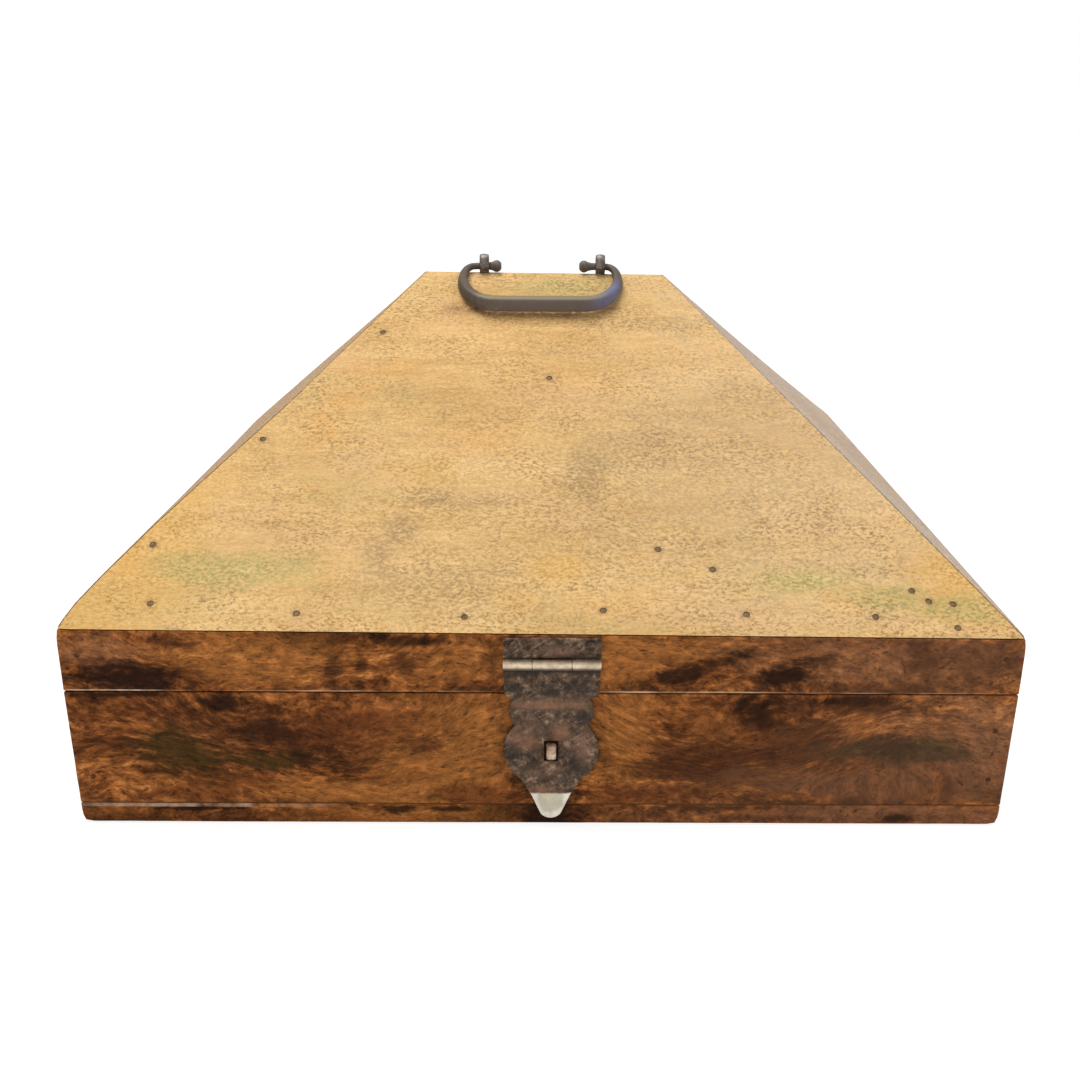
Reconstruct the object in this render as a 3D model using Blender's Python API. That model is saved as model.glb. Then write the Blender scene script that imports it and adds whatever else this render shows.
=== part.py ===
# Small dowry chest: a low box of nailed boards, a hinged hip-roof lid, a forged
# strap bail hung in split pins on the ridge, and a scalloped hasp over a staple.
# Metres, +Z up, front towards -Y, origin under the middle of the base board.

import bmesh
import bpy
from math import acos, asin, atan2, cos, hypot, pi, radians, sin, sqrt, tan
from mathutils import Matrix, Vector

MM = 0.001

# Fits
GAP = 0.3 * MM                      # between pieces that touch
ARRIS = 0.8 * MM                    # worn edge of a board
PANEL_ARRIS = 0.4 * MM              # worn edge of a roof panel
CUT_OVER = 2 * MM                   # how far a cutter runs past what it cuts

# Box
CHEST_WIDTH = 460 * MM
CHEST_DEPTH = 424 * MM
BASE_THICKNESS = 11 * MM
BASE_ROUNDING = 1.6 * MM            # worn lower edge of the base board
BOX_BOARD_HEIGHT = 61.6 * MM
BOX_BOARD_THICKNESS = 18 * MM

# Lid
LID_RAIL_HEIGHT = 30.4 * MM
LID_RAIL_THICKNESS = 18 * MM
ROOF_RISE = 140.5 * MM              # eave to ridge flat
RIDGE_LENGTH = 141 * MM
RIDGE_FLAT_WIDTH = 5 * MM
PANEL_THICKNESS = 8 * MM
BATTEN_WIDTH = 26 * MM              # strip under the ridge that the split pins hold to
BATTEN_DEPTH = 18 * MM

# Sunk nails at the corners
NAIL_HEAD_RADIUS = 1.3 * MM
NAIL_HEAD_HEIGHT = 1 * MM
NAIL_SHANK_RADIUS = 0.9 * MM
NAIL_LENGTH = 42 * MM
NAIL_POINT = 4 * MM
BOX_NAIL_HEIGHTS = {"lower": 15 * MM, "upper": 42 * MM}     # above the base board
LID_NAIL_HEIGHT = 19 * MM                                   # above the seam

# Dome-headed nails of the metal fittings
DOME_RADIUS = 2.7 * MM
DOME_HEIGHT = 1.2 * MM
DOME_SHANK_RADIUS = 1 * MM
DOME_NAIL_LENGTH = 12 * MM
DOME_NAIL_POINT = 2.5 * MM
DOME_NAIL_SPACING = 37 * MM         # across a leaf
DOME_NAIL_EDGE = 3.5 * MM           # from the far edge of a leaf

# Rolled hinge leaves, shared by the hasp and the two rear hinges
BARREL_RADIUS = 2.7 * MM
LEAF_THICKNESS = 1.5 * MM
LEAF_WIDTH = 46.6 * MM
HINGE_PIN_RADIUS = 1.2 * MM
MIDDLE_KNUCKLE = 18.6 * MM
HASP_PLATE_HEIGHT = 13.2 * MM       # barrel axis to the top of the plate
HINGE_LEAF_HEIGHT = 20 * MM         # barrel axis to the far edge of a rear leaf
HINGE_SPACING = 250 * MM            # between the middles of the rear hinges

# Hasp leaf outline: half width and drop below the barrel axis
HASP_OFFSET = 4.6 * MM              # to the right of the middle of the chest
HASP_EAVE_MARGIN = 0.8 * MM         # eave down to the top of the plate
LEAF_SHOULDER = (23 * MM, 13.2 * MM)
LEAF_SHOULDER_ROUND = (21.7 * MM, 16.7 * MM)
LEAF_FIRST_NECK = (18.4 * MM, 18.6 * MM)
LEAF_BEAD = (20.4 * MM, 25.4 * MM)
LEAF_SECOND_NECK = (17.6 * MM, 32.9 * MM)
LEAF_LOBE = (23.1 * MM, 45 * MM)
LEAF_TAPER = (14.9 * MM, 62.6 * MM)
LEAF_TIP = (9.6 * MM, 71.3 * MM)
LEAF_TIP_ROUND = (6.6 * MM, 81.5 * MM)                      # where the blunt end starts to round
LEAF_END_DROP = 85.2 * MM
SLOT_DROP = 46.8 * MM               # barrel axis to the middle of the slot

# Split pins: the staple under the hasp and the two eyes of the handle
PIN_WIRE_THICKNESS = 2.2 * MM
PIN_LEG_SPLIT = 0.4 * MM            # between the two legs
PIN_BEND_INSIDE = 0.6 * MM          # inner radius where a leg is clinched
STAPLE_WIRE_WIDTH = 5.2 * MM        # two wires side by side
STAPLE_WIRE_PITCH = 2.3 * MM        # between the middles of those wires
STAPLE_LOOP_RADIUS = 3.2 * MM       # middle of the wire
STAPLE_FILLET = 1.5 * MM
STAPLE_NECK = 0 * MM                # surface to where the loop opens
STAPLE_CLINCH = 6 * MM
STAPLE_SIDE_PLAY = 0.85 * MM        # in the slot of the hasp
STAPLE_LOWER_PLAY = 2.25 * MM
STAPLE_UPPER_PLAY = 0.45 * MM
EYE_WIRE_WIDTH = 5.8 * MM
EYE_SQUARENESS = 2.6
EYE_LOOP_STRETCH = 2 * MM           # straight stretch that makes the loop taller than wide
EYE_FILLET = 2 * MM
EYE_CLINCH = 6.5 * MM
EYE_SPACING = 69 * MM
EYE_PIN_PLAY = 0.7 * MM             # round the bail's pin

# Bail: flat strap drawn down to round pins that end in knobs
STRAP_WIDTH = 7.8 * MM
STRAP_THICKNESS = 5.4 * MM
STRAP_FLARE = radians(14)           # lean of the strap, lower edge outwards
STRAP_SQUARENESS = 4                # 2 is an oval section, larger is nearer a rectangle
STRAP_TAPER = 1.1                   # how late the arms widen towards the grip
BAIL_WIDTH = 97 * MM                # over the arms
BAIL_REACH = 39.5 * MM              # pivot to the outer face of the grip
BAIL_SHOULDER_REACH = 13 * MM       # pivot to the widest place of the arms
BAIL_GRIP_STRAIGHT = 51 * MM
BAIL_PIN_RADIUS = 2 * MM
BAIL_EYE_PLAY = 1.7 * MM            # beside the eye
BAIL_SIDE_REST = -1.2 * MM          # where the bail lies between its eyes, left of the middle
GRIP_REST_GAP = 2 * MM              # grip off the front panel at rest, the arms being stiff in the eyes
KNOB_RADIUS = 3.8 * MM
KNOB_LENGTH = 6.6 * MM
KNOB_INSET = 8.5 * MM               # middle of the eye to the middle of the knob
KNOB_RIDGE_PLAY = 0.35 * MM         # above the ridge

# Facets
BEVEL_STEPS = 2
SMOOTH_ANGLE = radians(40)
TURN_SIDES = 12
BARREL_STEPS = 16
ARC_STEPS = 5
WIRE_SIDES = 10
STRAP_SIDES = 16

FINISHES = {                        # colour, roughness, metallic
    "base wood": ((0.17, 0.085, 0.04), 0.62, 0.0),
    "box wood": ((0.20, 0.09, 0.035), 0.58, 0.0),
    "rail wood": ((0.22, 0.095, 0.04), 0.58, 0.0),
    "roof wood": ((0.62, 0.43, 0.21), 0.66, 0.0),
    "batten wood": ((0.38, 0.24, 0.12), 0.72, 0.0),
    "bail iron": ((0.11, 0.10, 0.095), 0.48, 0.85),
    "eye iron": ((0.20, 0.17, 0.15), 0.52, 0.8),
    "hasp bronze": ((0.15, 0.12, 0.09), 0.50, 0.8),
    "worn brass": ((0.55, 0.46, 0.33), 0.36, 0.9),
    "nail iron": ((0.09, 0.075, 0.065), 0.62, 0.7),
}

# Levels and slopes worked out from the sizes above
SEAM_Z = BASE_THICKNESS + BOX_BOARD_HEIGHT
EAVE_Z = SEAM_Z + LID_RAIL_HEIGHT
RIDGE_Z = EAVE_Z + ROOF_RISE
FRONT_PITCH = atan2(ROOF_RISE, (CHEST_DEPTH - RIDGE_FLAT_WIDTH) / 2)
APEX_Z = EAVE_Z + tan(FRONT_PITCH) * CHEST_DEPTH / 2
SIDE_PITCH = atan2(APEX_Z - EAVE_Z, (CHEST_WIDTH - RIDGE_LENGTH) / 2)
BATTEN_BOTTOM_Z = APEX_Z - PANEL_THICKNESS / cos(FRONT_PITCH) - BATTEN_DEPTH

# Each side of the roof: the way it faces, its pitch and how far out its eave lies
ROOF_SIDES = {
    "front": (Vector((0, -1, 0)), FRONT_PITCH, CHEST_DEPTH / 2),
    "back": (Vector((0, 1, 0)), FRONT_PITCH, CHEST_DEPTH / 2),
    "left": (Vector((-1, 0, 0)), SIDE_PITCH, CHEST_WIDTH / 2),
    "right": (Vector((1, 0, 0)), SIDE_PITCH, CHEST_WIDTH / 2),
}
SIDES = {"left": -1, "right": 1}
FACES = {"front": -1, "back": 1}

# A barrel's axis stands off its wall by the barrel's radius and the gap behind the leaf
BARREL_STAND_OFF = BARREL_RADIUS + GAP
LID_AXIS = Vector((0, CHEST_DEPTH / 2 + BARREL_STAND_OFF, SEAM_Z))
HASP_AXIS = Vector((
    HASP_OFFSET,
    -CHEST_DEPTH / 2 - BARREL_STAND_OFF,
    EAVE_Z - HASP_EAVE_MARGIN - HASP_PLATE_HEIGHT,
))

# Legs of a split pin lie side by side; its loop closes on them over two fillets
PIN_LEG_OFFSET = (PIN_WIRE_THICKNESS + PIN_LEG_SPLIT) / 2


def loop_rise(radius, fillet):
    # From the neck, where the loop opens, to the middle of the loop
    return sqrt((radius + fillet) ** 2 - (PIN_LEG_OFFSET + fillet) ** 2)


# The slot of the hasp clears the staple, which sits above its middle
SLOT_WIDTH = STAPLE_WIRE_WIDTH + 2 * STAPLE_SIDE_PLAY
SLOT_HEIGHT = 2 * STAPLE_LOOP_RADIUS + PIN_WIRE_THICKNESS + STAPLE_LOWER_PLAY + STAPLE_UPPER_PLAY
STAPLE_Z = HASP_AXIS.z - SLOT_DROP + (STAPLE_LOWER_PLAY - STAPLE_UPPER_PLAY) / 2

# The knobs clear the ridge, and the bail's pins lie at the bottom of the eyes
BAIL_AXIS_HEIGHT = KNOB_RADIUS + KNOB_RIDGE_PLAY
BAIL_AXIS = Vector((0, 0, RIDGE_Z + BAIL_AXIS_HEIGHT))
EYE_LOOP_RADIUS = BAIL_PIN_RADIUS + EYE_PIN_PLAY + PIN_WIRE_THICKNESS / 2
EYE_LOOP_BOTTOM = BAIL_AXIS_HEIGHT - BAIL_PIN_RADIUS - GAP - PIN_WIRE_THICKNESS / 2
EYE_NECK = EYE_LOOP_BOTTOM + EYE_LOOP_RADIUS - loop_rise(EYE_LOOP_RADIUS, EYE_FILLET)


def bail_rest_tilt():
    # Dip of the bail below level when the inner lower edge of its grip lies its rest gap off the panel
    off_slope = BAIL_AXIS_HEIGHT * cos(FRONT_PITCH) - RIDGE_FLAT_WIDTH / 2 * sin(FRONT_PITCH)
    half_width = STRAP_WIDTH / 2
    edge_reach = BAIL_REACH - STRAP_THICKNESS + half_width * tan(STRAP_FLARE)
    lift = atan2(half_width, edge_reach) + asin((GRIP_REST_GAP - off_slope) / hypot(edge_reach, half_width))
    return FRONT_PITCH - lift


def make_finish(name, finish):
    colour, roughness, metallic = FINISHES[finish]
    material = bpy.data.materials.new(name + " " + finish)
    material.use_nodes = True
    shader = material.node_tree.nodes["Principled BSDF"]
    shader.inputs["Base Color"].default_value = (*colour, 1)
    shader.inputs["Roughness"].default_value = roughness
    shader.inputs["Metallic"].default_value = metallic
    return material


def make_object(name, bm, place, turn, carrier):
    bmesh.ops.recalc_face_normals(bm, faces=bm.faces)
    mesh = bpy.data.meshes.new(name)
    bm.to_mesh(mesh)
    bm.free()
    made = bpy.data.objects.new(name, mesh)
    bpy.context.collection.objects.link(made)
    made.parent = carrier
    made.location = Vector(place) - (carrier.location if carrier else Vector())
    made.rotation_euler = turn
    return made


def add_piece(name, bm, finish, place=(0, 0, 0), turn=(0, 0, 0), carrier=None, round_form=False):
    piece = make_object(name, bm, place, turn, carrier)
    piece.data.materials.append(make_finish(name, finish))
    if round_form:
        piece.data.shade_smooth()
        piece.data.set_sharp_from_angle(angle=SMOOTH_ANGLE)
    return piece


def add_cutter(name, bm, place=(0, 0, 0), turn=(0, 0, 0), carrier=None):
    cutter = make_object(name, bm, place, turn, carrier)
    cutter.hide_render = True
    cutter.display_type = "WIRE"
    return cutter


def combine(piece, other, operation="DIFFERENCE"):
    step = piece.modifiers.new(operation.lower() + " " + other.name, "BOOLEAN")
    step.operation = operation
    step.object = other


def soften(piece, width):
    edge = piece.modifiers.new("worn edges", "BEVEL")
    edge.width = width
    edge.segments = BEVEL_STEPS
    edge.limit_method = "ANGLE"


def cuboid(size):
    bm = bmesh.new()
    bmesh.ops.create_cube(bm, size=1, matrix=Matrix.Diagonal((*size, 1)))
    return bm


def prism(ring, sweep):
    bm = bmesh.new()
    face = bm.faces.new([bm.verts.new(point) for point in ring])
    raised = bmesh.ops.extrude_face_region(bm, geom=[face])["geom"]
    corners = [part for part in raised if isinstance(part, bmesh.types.BMVert)]
    bmesh.ops.translate(bm, vec=sweep, verts=corners)
    return bm


def turned(profile):
    # Spins (radius, height) points about Z
    bm = bmesh.new()
    points = [bm.verts.new((radius, 0, height)) for radius, height in profile]
    lines = [bm.edges.new(pair) for pair in zip(points, points[1:])]
    bmesh.ops.spin(bm, geom=points + lines, cent=(0, 0, 0), axis=(0, 0, 1),
                   angle=2 * pi, steps=TURN_SIDES, use_merge=True)
    bmesh.ops.remove_doubles(bm, verts=bm.verts, dist=GAP / 100)
    return bm


def convex_solid(planes, middle):
    # What is left of a large block once each (point, outward normal) plane has cut it
    bm = bmesh.new()
    bmesh.ops.create_cube(bm, size=4 * (CHEST_WIDTH + CHEST_DEPTH))
    for point, outward in planes:
        whole = bm.verts[:] + bm.edges[:] + bm.faces[:]
        cut = bmesh.ops.bisect_plane(bm, geom=whole, plane_co=point, plane_no=outward, clear_outer=True)
        rim = [part for part in cut["geom_cut"] if isinstance(part, bmesh.types.BMEdge)]
        if rim:
            bmesh.ops.edgeloop_fill(bm, edges=rim)
    bmesh.ops.translate(bm, vec=-middle, verts=bm.verts)
    return bm


def arc(centre, radii, start, end, steps=ARC_STEPS):
    turns = [start + (end - start) * step / steps for step in range(steps + 1)]
    return [(centre[0] + radii[0] * cos(turn), centre[1] + radii[1] * sin(turn)) for turn in turns]


def arc_through(first, middle, last):
    # Circle arc from first to last by way of middle
    a, b, c = (Vector(point) for point in (first, middle, last))
    ab, ac = b - a, c - a
    twice = 2 * (ab.x * ac.y - ab.y * ac.x)
    centre = a + Vector((ac.y * ab.length_squared - ab.y * ac.length_squared,
                         ab.x * ac.length_squared - ac.x * ab.length_squared)) / twice
    radius = (a - centre).length
    start, by, end = (atan2(point.y - centre.y, point.x - centre.x) for point in (a, b, c))
    if (by - start) % (2 * pi) < (end - start) % (2 * pi):
        end = start + (end - start) % (2 * pi)
    else:
        end = start - (start - end) % (2 * pi)
    return arc(centre, (radius, radius), start, end, 2 * ARC_STEPS)


def superellipse(half_width, half_thickness, power, sides):
    ring = []
    for step in range(sides):
        turn = 2 * pi * (step + 0.5) / sides
        across, through = cos(turn), sin(turn)
        ring.append((
            half_width * abs(across) ** (2 / power) * (1 if across > 0 else -1),
            half_thickness * abs(through) ** (2 / power) * (1 if through > 0 else -1),
        ))
    return ring


def twin_wire(width, pitch, thickness):
    # Outline of two oval wires lying against each other
    half_pitch = pitch / 2
    radius = width / 2 - half_pitch
    waist = acos(-half_pitch / radius)
    ring = arc((half_pitch, 0), (radius, thickness / 2), -waist, waist)
    return ring + arc((-half_pitch, 0), (radius, thickness / 2), pi - waist, pi + waist)[1:-1]


def swept(stations, to_world, width_axis):
    # stations: (point in the plane, section ring of (across, through) pairs)
    centres = [to_world(point) for point, ring in stations]
    bm = bmesh.new()
    rings = []
    for index, (point, section) in enumerate(stations):
        ahead = centres[min(index + 1, len(centres) - 1)]
        behind = centres[max(index - 1, 0)]
        through_axis = width_axis.cross(ahead - behind).normalized()
        rings.append([
            bm.verts.new(centres[index] + width_axis * across + through_axis * through)
            for across, through in section
        ])
    for ring, following in zip(rings, rings[1:]):
        for corner in range(len(ring)):
            after = (corner + 1) % len(ring)
            bm.faces.new((ring[corner], ring[after], following[after], following[corner]))
    bm.faces.new(rings[0])
    bm.faces.new(rings[-1])
    return bm


def add_board(name, size, place, finish, carrier=None):
    board = add_piece(name, cuboid(size), finish, place, carrier=carrier)
    soften(board, ARRIS)
    return board


def add_base():
    bm = cuboid((CHEST_WIDTH, CHEST_DEPTH, BASE_THICKNESS))
    lower = [edge for edge in bm.edges if min(corner.co.z for corner in edge.verts) < 0]
    bmesh.ops.bevel(bm, geom=lower, offset=BASE_ROUNDING, segments=BEVEL_STEPS, profile=0.5, affect="EDGES")
    base = add_piece("base_board", bm, "base wood", (0, 0, BASE_THICKNESS / 2))
    soften(base, ARRIS)


def add_frame(prefix, finish, height, thickness, bottom, carrier=None):
    # Front and back boards run the full width; the two ends butt between them
    middle = bottom + height / 2
    size = (CHEST_WIDTH, thickness, height - GAP)
    boards = {}
    for face, way in FACES.items():
        place = (0, way * (CHEST_DEPTH - thickness) / 2, middle)
        boards[face] = add_board(f"{prefix[0]}_{face}_{prefix[1]}", size, place, finish, carrier)
    size = (thickness, CHEST_DEPTH - 2 * thickness - 2 * GAP, height - GAP)
    for side, way in SIDES.items():
        place = (way * (CHEST_WIDTH - thickness) / 2, 0, middle)
        boards[side] = add_board(f"{prefix[0]}_{side}_{prefix[1]}", size, place, finish, carrier)
    return boards


def slope_plane(side, inset):
    out, pitch, reach = ROOF_SIDES[side]
    normal = out * sin(pitch) + Vector((0, 0, cos(pitch)))
    return out * reach + Vector((0, 0, EAVE_Z)) - normal * inset, normal


def mitre_plane(side, other):
    # Plane halfway between two slopes, set back by half a gap
    eave, normal = slope_plane(side, 0)
    other_eave, other_normal = slope_plane(other, 0)
    outward = (other_normal - normal).normalized()
    corner = eave + other_eave - Vector((0, 0, EAVE_Z))
    return corner - outward * GAP / 2, outward


def add_roof(lid):
    down, up = Vector((0, 0, -1)), Vector((0, 0, 1))
    panels = {}
    for side in ROOF_SIDES:
        eave, normal = slope_plane(side, 0)
        underside, _ = slope_plane(side, PANEL_THICKNESS)
        planes = [(eave, normal), (underside, -normal)]
        planes += [(up * (EAVE_Z + GAP / 2), down), (up * RIDGE_Z, up)]
        planes += [mitre_plane(side, other) for other in ROOF_SIDES if other != side]
        bm = convex_solid(planes, eave)
        panels[side] = add_piece(f"roof_{side}_panel", bm, "roof wood", eave, carrier=lid)
        soften(panels[side], PANEL_ARRIS)
    return panels


def add_batten(lid):
    bottom = Vector((0, 0, BATTEN_BOTTOM_Z))
    planes = [slope_plane(side, PANEL_THICKNESS + GAP) for side in ROOF_SIDES]
    planes.append((bottom, Vector((0, 0, -1))))
    for way in FACES.values():
        out = Vector((0, way, 0))
        planes.append((out * BATTEN_WIDTH / 2, out))
    batten = add_piece("ridge_batten", convex_solid(planes, bottom), "batten wood", bottom, carrier=lid)
    soften(batten, PANEL_ARRIS)
    return batten


def facing(way):
    # Turn that points local +Z out of the front or the back of the chest
    return (-way * pi / 2, 0, 0)


def add_sunk_nail(name, x, way, z, boards, carrier=None):
    place = (x, way * CHEST_DEPTH / 2, z)
    shank_end = NAIL_POINT - NAIL_LENGTH
    profile = [(0, 0), (NAIL_HEAD_RADIUS, 0), (NAIL_HEAD_RADIUS, -NAIL_HEAD_HEIGHT),
               (NAIL_SHANK_RADIUS, -NAIL_HEAD_HEIGHT), (NAIL_SHANK_RADIUS, shank_end), (0, -NAIL_LENGTH)]
    add_piece(name, turned(profile), "nail iron", place, facing(way), carrier, True)
    head, shank = NAIL_HEAD_RADIUS + GAP, NAIL_SHANK_RADIUS + GAP
    seat, end = -NAIL_HEAD_HEIGHT - GAP, -NAIL_LENGTH - GAP
    profile = [(0, CUT_OVER), (head, CUT_OVER), (head, seat), (shank, seat), (shank, end), (0, end)]
    hole = add_cutter(name + "_hole", turned(profile), place, facing(way), carrier)
    for board in boards:
        combine(board, hole)


def add_corner_nails(box, rails, lid):
    for face, way in FACES.items():
        for side, hand in SIDES.items():
            x = hand * (CHEST_WIDTH - BOX_BOARD_THICKNESS) / 2
            for level, height in BOX_NAIL_HEIGHTS.items():
                name = f"box_nail_{face}_{side}_{level}"
                add_sunk_nail(name, x, way, BASE_THICKNESS + height, (box[face], box[side]))
            x = hand * (CHEST_WIDTH - LID_RAIL_THICKNESS) / 2
            name = f"lid_nail_{face}_{side}"
            add_sunk_nail(name, x, way, SEAM_Z + LID_NAIL_HEIGHT, (rails[face], rails[side]), lid)


def add_dome_nail(name, place, way, pierced, carrier=None):
    # The head lies on the leaf, so the nail's zero is the outer face of the leaf plus a gap
    shank_end = DOME_NAIL_POINT - DOME_NAIL_LENGTH
    dome = [(DOME_RADIUS * sin(turn), DOME_HEIGHT * cos(turn)) for turn in (0, pi / 6, pi / 3, pi / 2)]
    profile = dome + [(DOME_SHANK_RADIUS, 0), (DOME_SHANK_RADIUS, shank_end), (0, -DOME_NAIL_LENGTH)]
    add_piece(name, turned(profile), "nail iron", place, facing(way), carrier, True)
    shank, end = DOME_SHANK_RADIUS + GAP, -DOME_NAIL_LENGTH - GAP
    profile = [(0, CUT_OVER), (shank, CUT_OVER), (shank, end), (0, end)]
    hole = add_cutter(name + "_hole", turned(profile), place, facing(way), carrier)
    for piece in pierced:
        combine(piece, hole)


def rolled_section(height, up):
    # Leaf and barrel seen from the end: the leaf's back is tangent to the barrel
    front = BARREL_RADIUS - LEAF_THICKNESS
    leaves_barrel = acos(front / BARREL_RADIUS)
    barrel = arc((0, 0), (BARREL_RADIUS, BARREL_RADIUS), leaves_barrel, 2 * pi, BARREL_STEPS)
    outline = [(front, height)] + barrel + [(BARREL_RADIUS, height)]
    return [(y, up * z) for y, z in outline]


def rolled_strip(height, up, width):
    ring = [Vector((-width / 2, y, z)) for y, z in rolled_section(height, up)]
    return prism(ring, Vector((width, 0, 0)))


def rod(radius, length):
    circle = arc((0, 0), (radius, radius), 0, 2 * pi, TURN_SIDES)[:-1]
    ring = [Vector((-length / 2, y, z)) for y, z in circle]
    return prism(ring, Vector((length, 0, 0)))


def bore_barrel(leaf, place, turn, carrier=None):
    bore = rod(HINGE_PIN_RADIUS + GAP, LEAF_WIDTH + 2 * CUT_OVER)
    combine(leaf, add_cutter(leaf.name + "_bore", bore, place, turn, carrier))


def add_outer_leaf(name, height, finish, place, turn, carrier=None):
    # Upright leaf with a knuckle at each end of its barrel
    leaf = add_piece(name, rolled_strip(height, 1, LEAF_WIDTH), finish, place, turn, carrier, True)
    notch = cuboid((MIDDLE_KNUCKLE + 2 * GAP, 4 * BARREL_RADIUS, 4 * BARREL_RADIUS))
    drop = Vector((0, 0, GAP - BARREL_RADIUS))
    combine(leaf, add_cutter(name + "_notch", notch, Vector(place) + drop, turn, carrier))
    bore_barrel(leaf, place, turn, carrier)
    return leaf


def add_middle_leaf(name, height, finish, place, turn):
    # Hanging leaf with one knuckle in the middle of its barrel
    leaf = add_piece(name, rolled_strip(height, -1, LEAF_WIDTH), finish, place, turn, None, True)
    spare = LEAF_WIDTH - MIDDLE_KNUCKLE
    for side, hand in SIDES.items():
        notch = cuboid((spare, 4 * BARREL_RADIUS, 4 * BARREL_RADIUS))
        shift = Vector((hand * (MIDDLE_KNUCKLE + spare) / 2, 0, BARREL_RADIUS - GAP))
        combine(leaf, add_cutter(f"{name}_{side}_notch", notch, Vector(place) + shift, turn))
    bore_barrel(leaf, place, turn)
    return leaf


def leaf_nail_place(axis, way, hand, rise):
    # On the outer face of a leaf whose barrel lies on the given axis
    out = way * (LEAF_THICKNESS - BARREL_RADIUS + GAP)
    return axis + Vector((hand * DOME_NAIL_SPACING / 2, out, rise))


def split_pin_path(loop_radius, stretch, fillet, neck, wall, clinch):
    # (across the legs, out of the wall) from one clinched end over the loop to the other
    bend = PIN_WIRE_THICKNESS / 2 + PIN_BEND_INSIDE
    under = -wall - GAP - PIN_WIRE_THICKNESS / 2
    rise = loop_rise(loop_radius, fillet)
    opening = atan2(rise, PIN_LEG_OFFSET + fillet)
    half = [(PIN_LEG_OFFSET + bend + clinch, under)]
    half += arc((PIN_LEG_OFFSET + bend, under + bend), (bend, bend), -pi / 2, -pi)
    half += arc((PIN_LEG_OFFSET + fillet, neck), (fillet, fillet), pi, pi - opening)
    half += arc((0, neck + rise), (loop_radius, loop_radius), -opening, 0)[1:]
    top = arc((0, neck + rise + stretch), (loop_radius, loop_radius), 0, pi / 2)
    half += top if stretch else top[1:]
    return half + [(-across, out) for across, out in reversed(half[:-1])]


def split_pin_hole(wire_width, wall):
    across = 2 * PIN_LEG_OFFSET + PIN_WIRE_THICKNESS + 2 * GAP
    return wire_width + 2 * GAP, across, wall + 2 * CUT_OVER


def add_split_pin(name, path, section, finish, place, turn, carrier=None):
    stations = [(point, section) for point in path]
    bm = swept(stations, lambda point: Vector((0, *point)), Vector((1, 0, 0)))
    add_piece(name, bm, finish, place, turn, carrier, True)


def hasp_leaf_outline():
    # Right half from the barrel down to the tip, then its mirror image
    top = BARREL_RADIUS + GAP
    half = [(LEAF_SHOULDER[0], top)]
    half += arc_through(LEAF_SHOULDER, LEAF_SHOULDER_ROUND, LEAF_FIRST_NECK)
    half += arc_through(LEAF_FIRST_NECK, LEAF_BEAD, LEAF_SECOND_NECK)[1:]
    half += arc_through(LEAF_SECOND_NECK, LEAF_LOBE, LEAF_TAPER)[1:]
    half.append(LEAF_TIP)
    end_radii = (LEAF_TIP_ROUND[0], LEAF_END_DROP - LEAF_TIP_ROUND[1])
    half += arc((0, LEAF_TIP_ROUND[1]), end_radii, 0, pi / 2)
    half[-1] = (0, LEAF_END_DROP)
    return half + [(-x, drop) for x, drop in reversed(half[:-1])]


def add_hasp(rail, front_board, lid):
    upright = (0, 0, 0)
    plate = add_outer_leaf("hasp_plate", HASP_PLATE_HEIGHT, "hasp bronze", HASP_AXIS, upright, lid)
    for side, hand in SIDES.items():
        place = leaf_nail_place(HASP_AXIS, -1, hand, HASP_PLATE_HEIGHT - DOME_NAIL_EDGE)
        add_dome_nail(f"hasp_nail_{side}", place, -1, (plate, rail), lid)
    pin = rod(HINGE_PIN_RADIUS, LEAF_WIDTH)
    add_piece("hasp_pin", pin, "worn brass", HASP_AXIS, carrier=lid, round_form=True)

    back = [Vector((x, BARREL_RADIUS, -drop)) for x, drop in hasp_leaf_outline()]
    sheet = prism(back, Vector((0, -LEAF_THICKNESS, 0)))
    leaf = add_piece("hasp_leaf", sheet, "hasp bronze", HASP_AXIS, carrier=lid, round_form=True)
    knuckle = rolled_strip(LEAF_SHOULDER[1], -1, MIDDLE_KNUCKLE)
    combine(leaf, add_cutter("hasp_leaf_knuckle", knuckle, HASP_AXIS, carrier=lid), "UNION")
    bore_barrel(leaf, HASP_AXIS, upright, lid)
    slot = cuboid((SLOT_WIDTH, 4 * BARREL_RADIUS, SLOT_HEIGHT))
    slot_middle = HASP_AXIS - Vector((0, 0, SLOT_DROP))
    combine(leaf, add_cutter("hasp_leaf_slot", slot, slot_middle, carrier=lid))

    section = twin_wire(STAPLE_WIRE_WIDTH, STAPLE_WIRE_PITCH, PIN_WIRE_THICKNESS)
    path = split_pin_path(STAPLE_LOOP_RADIUS, 0, STAPLE_FILLET, STAPLE_NECK,
                          BOX_BOARD_THICKNESS, STAPLE_CLINCH)
    place = (HASP_OFFSET, -CHEST_DEPTH / 2, STAPLE_Z)
    add_split_pin("hasp_staple", path, section, "worn brass", place, facing(-1))
    hole = cuboid(split_pin_hole(STAPLE_WIRE_WIDTH, BOX_BOARD_THICKNESS))
    middle = (HASP_OFFSET, (BOX_BOARD_THICKNESS - CHEST_DEPTH) / 2, STAPLE_Z)
    combine(front_board, add_cutter("hasp_staple_hole", hole, middle, facing(-1)))


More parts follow.
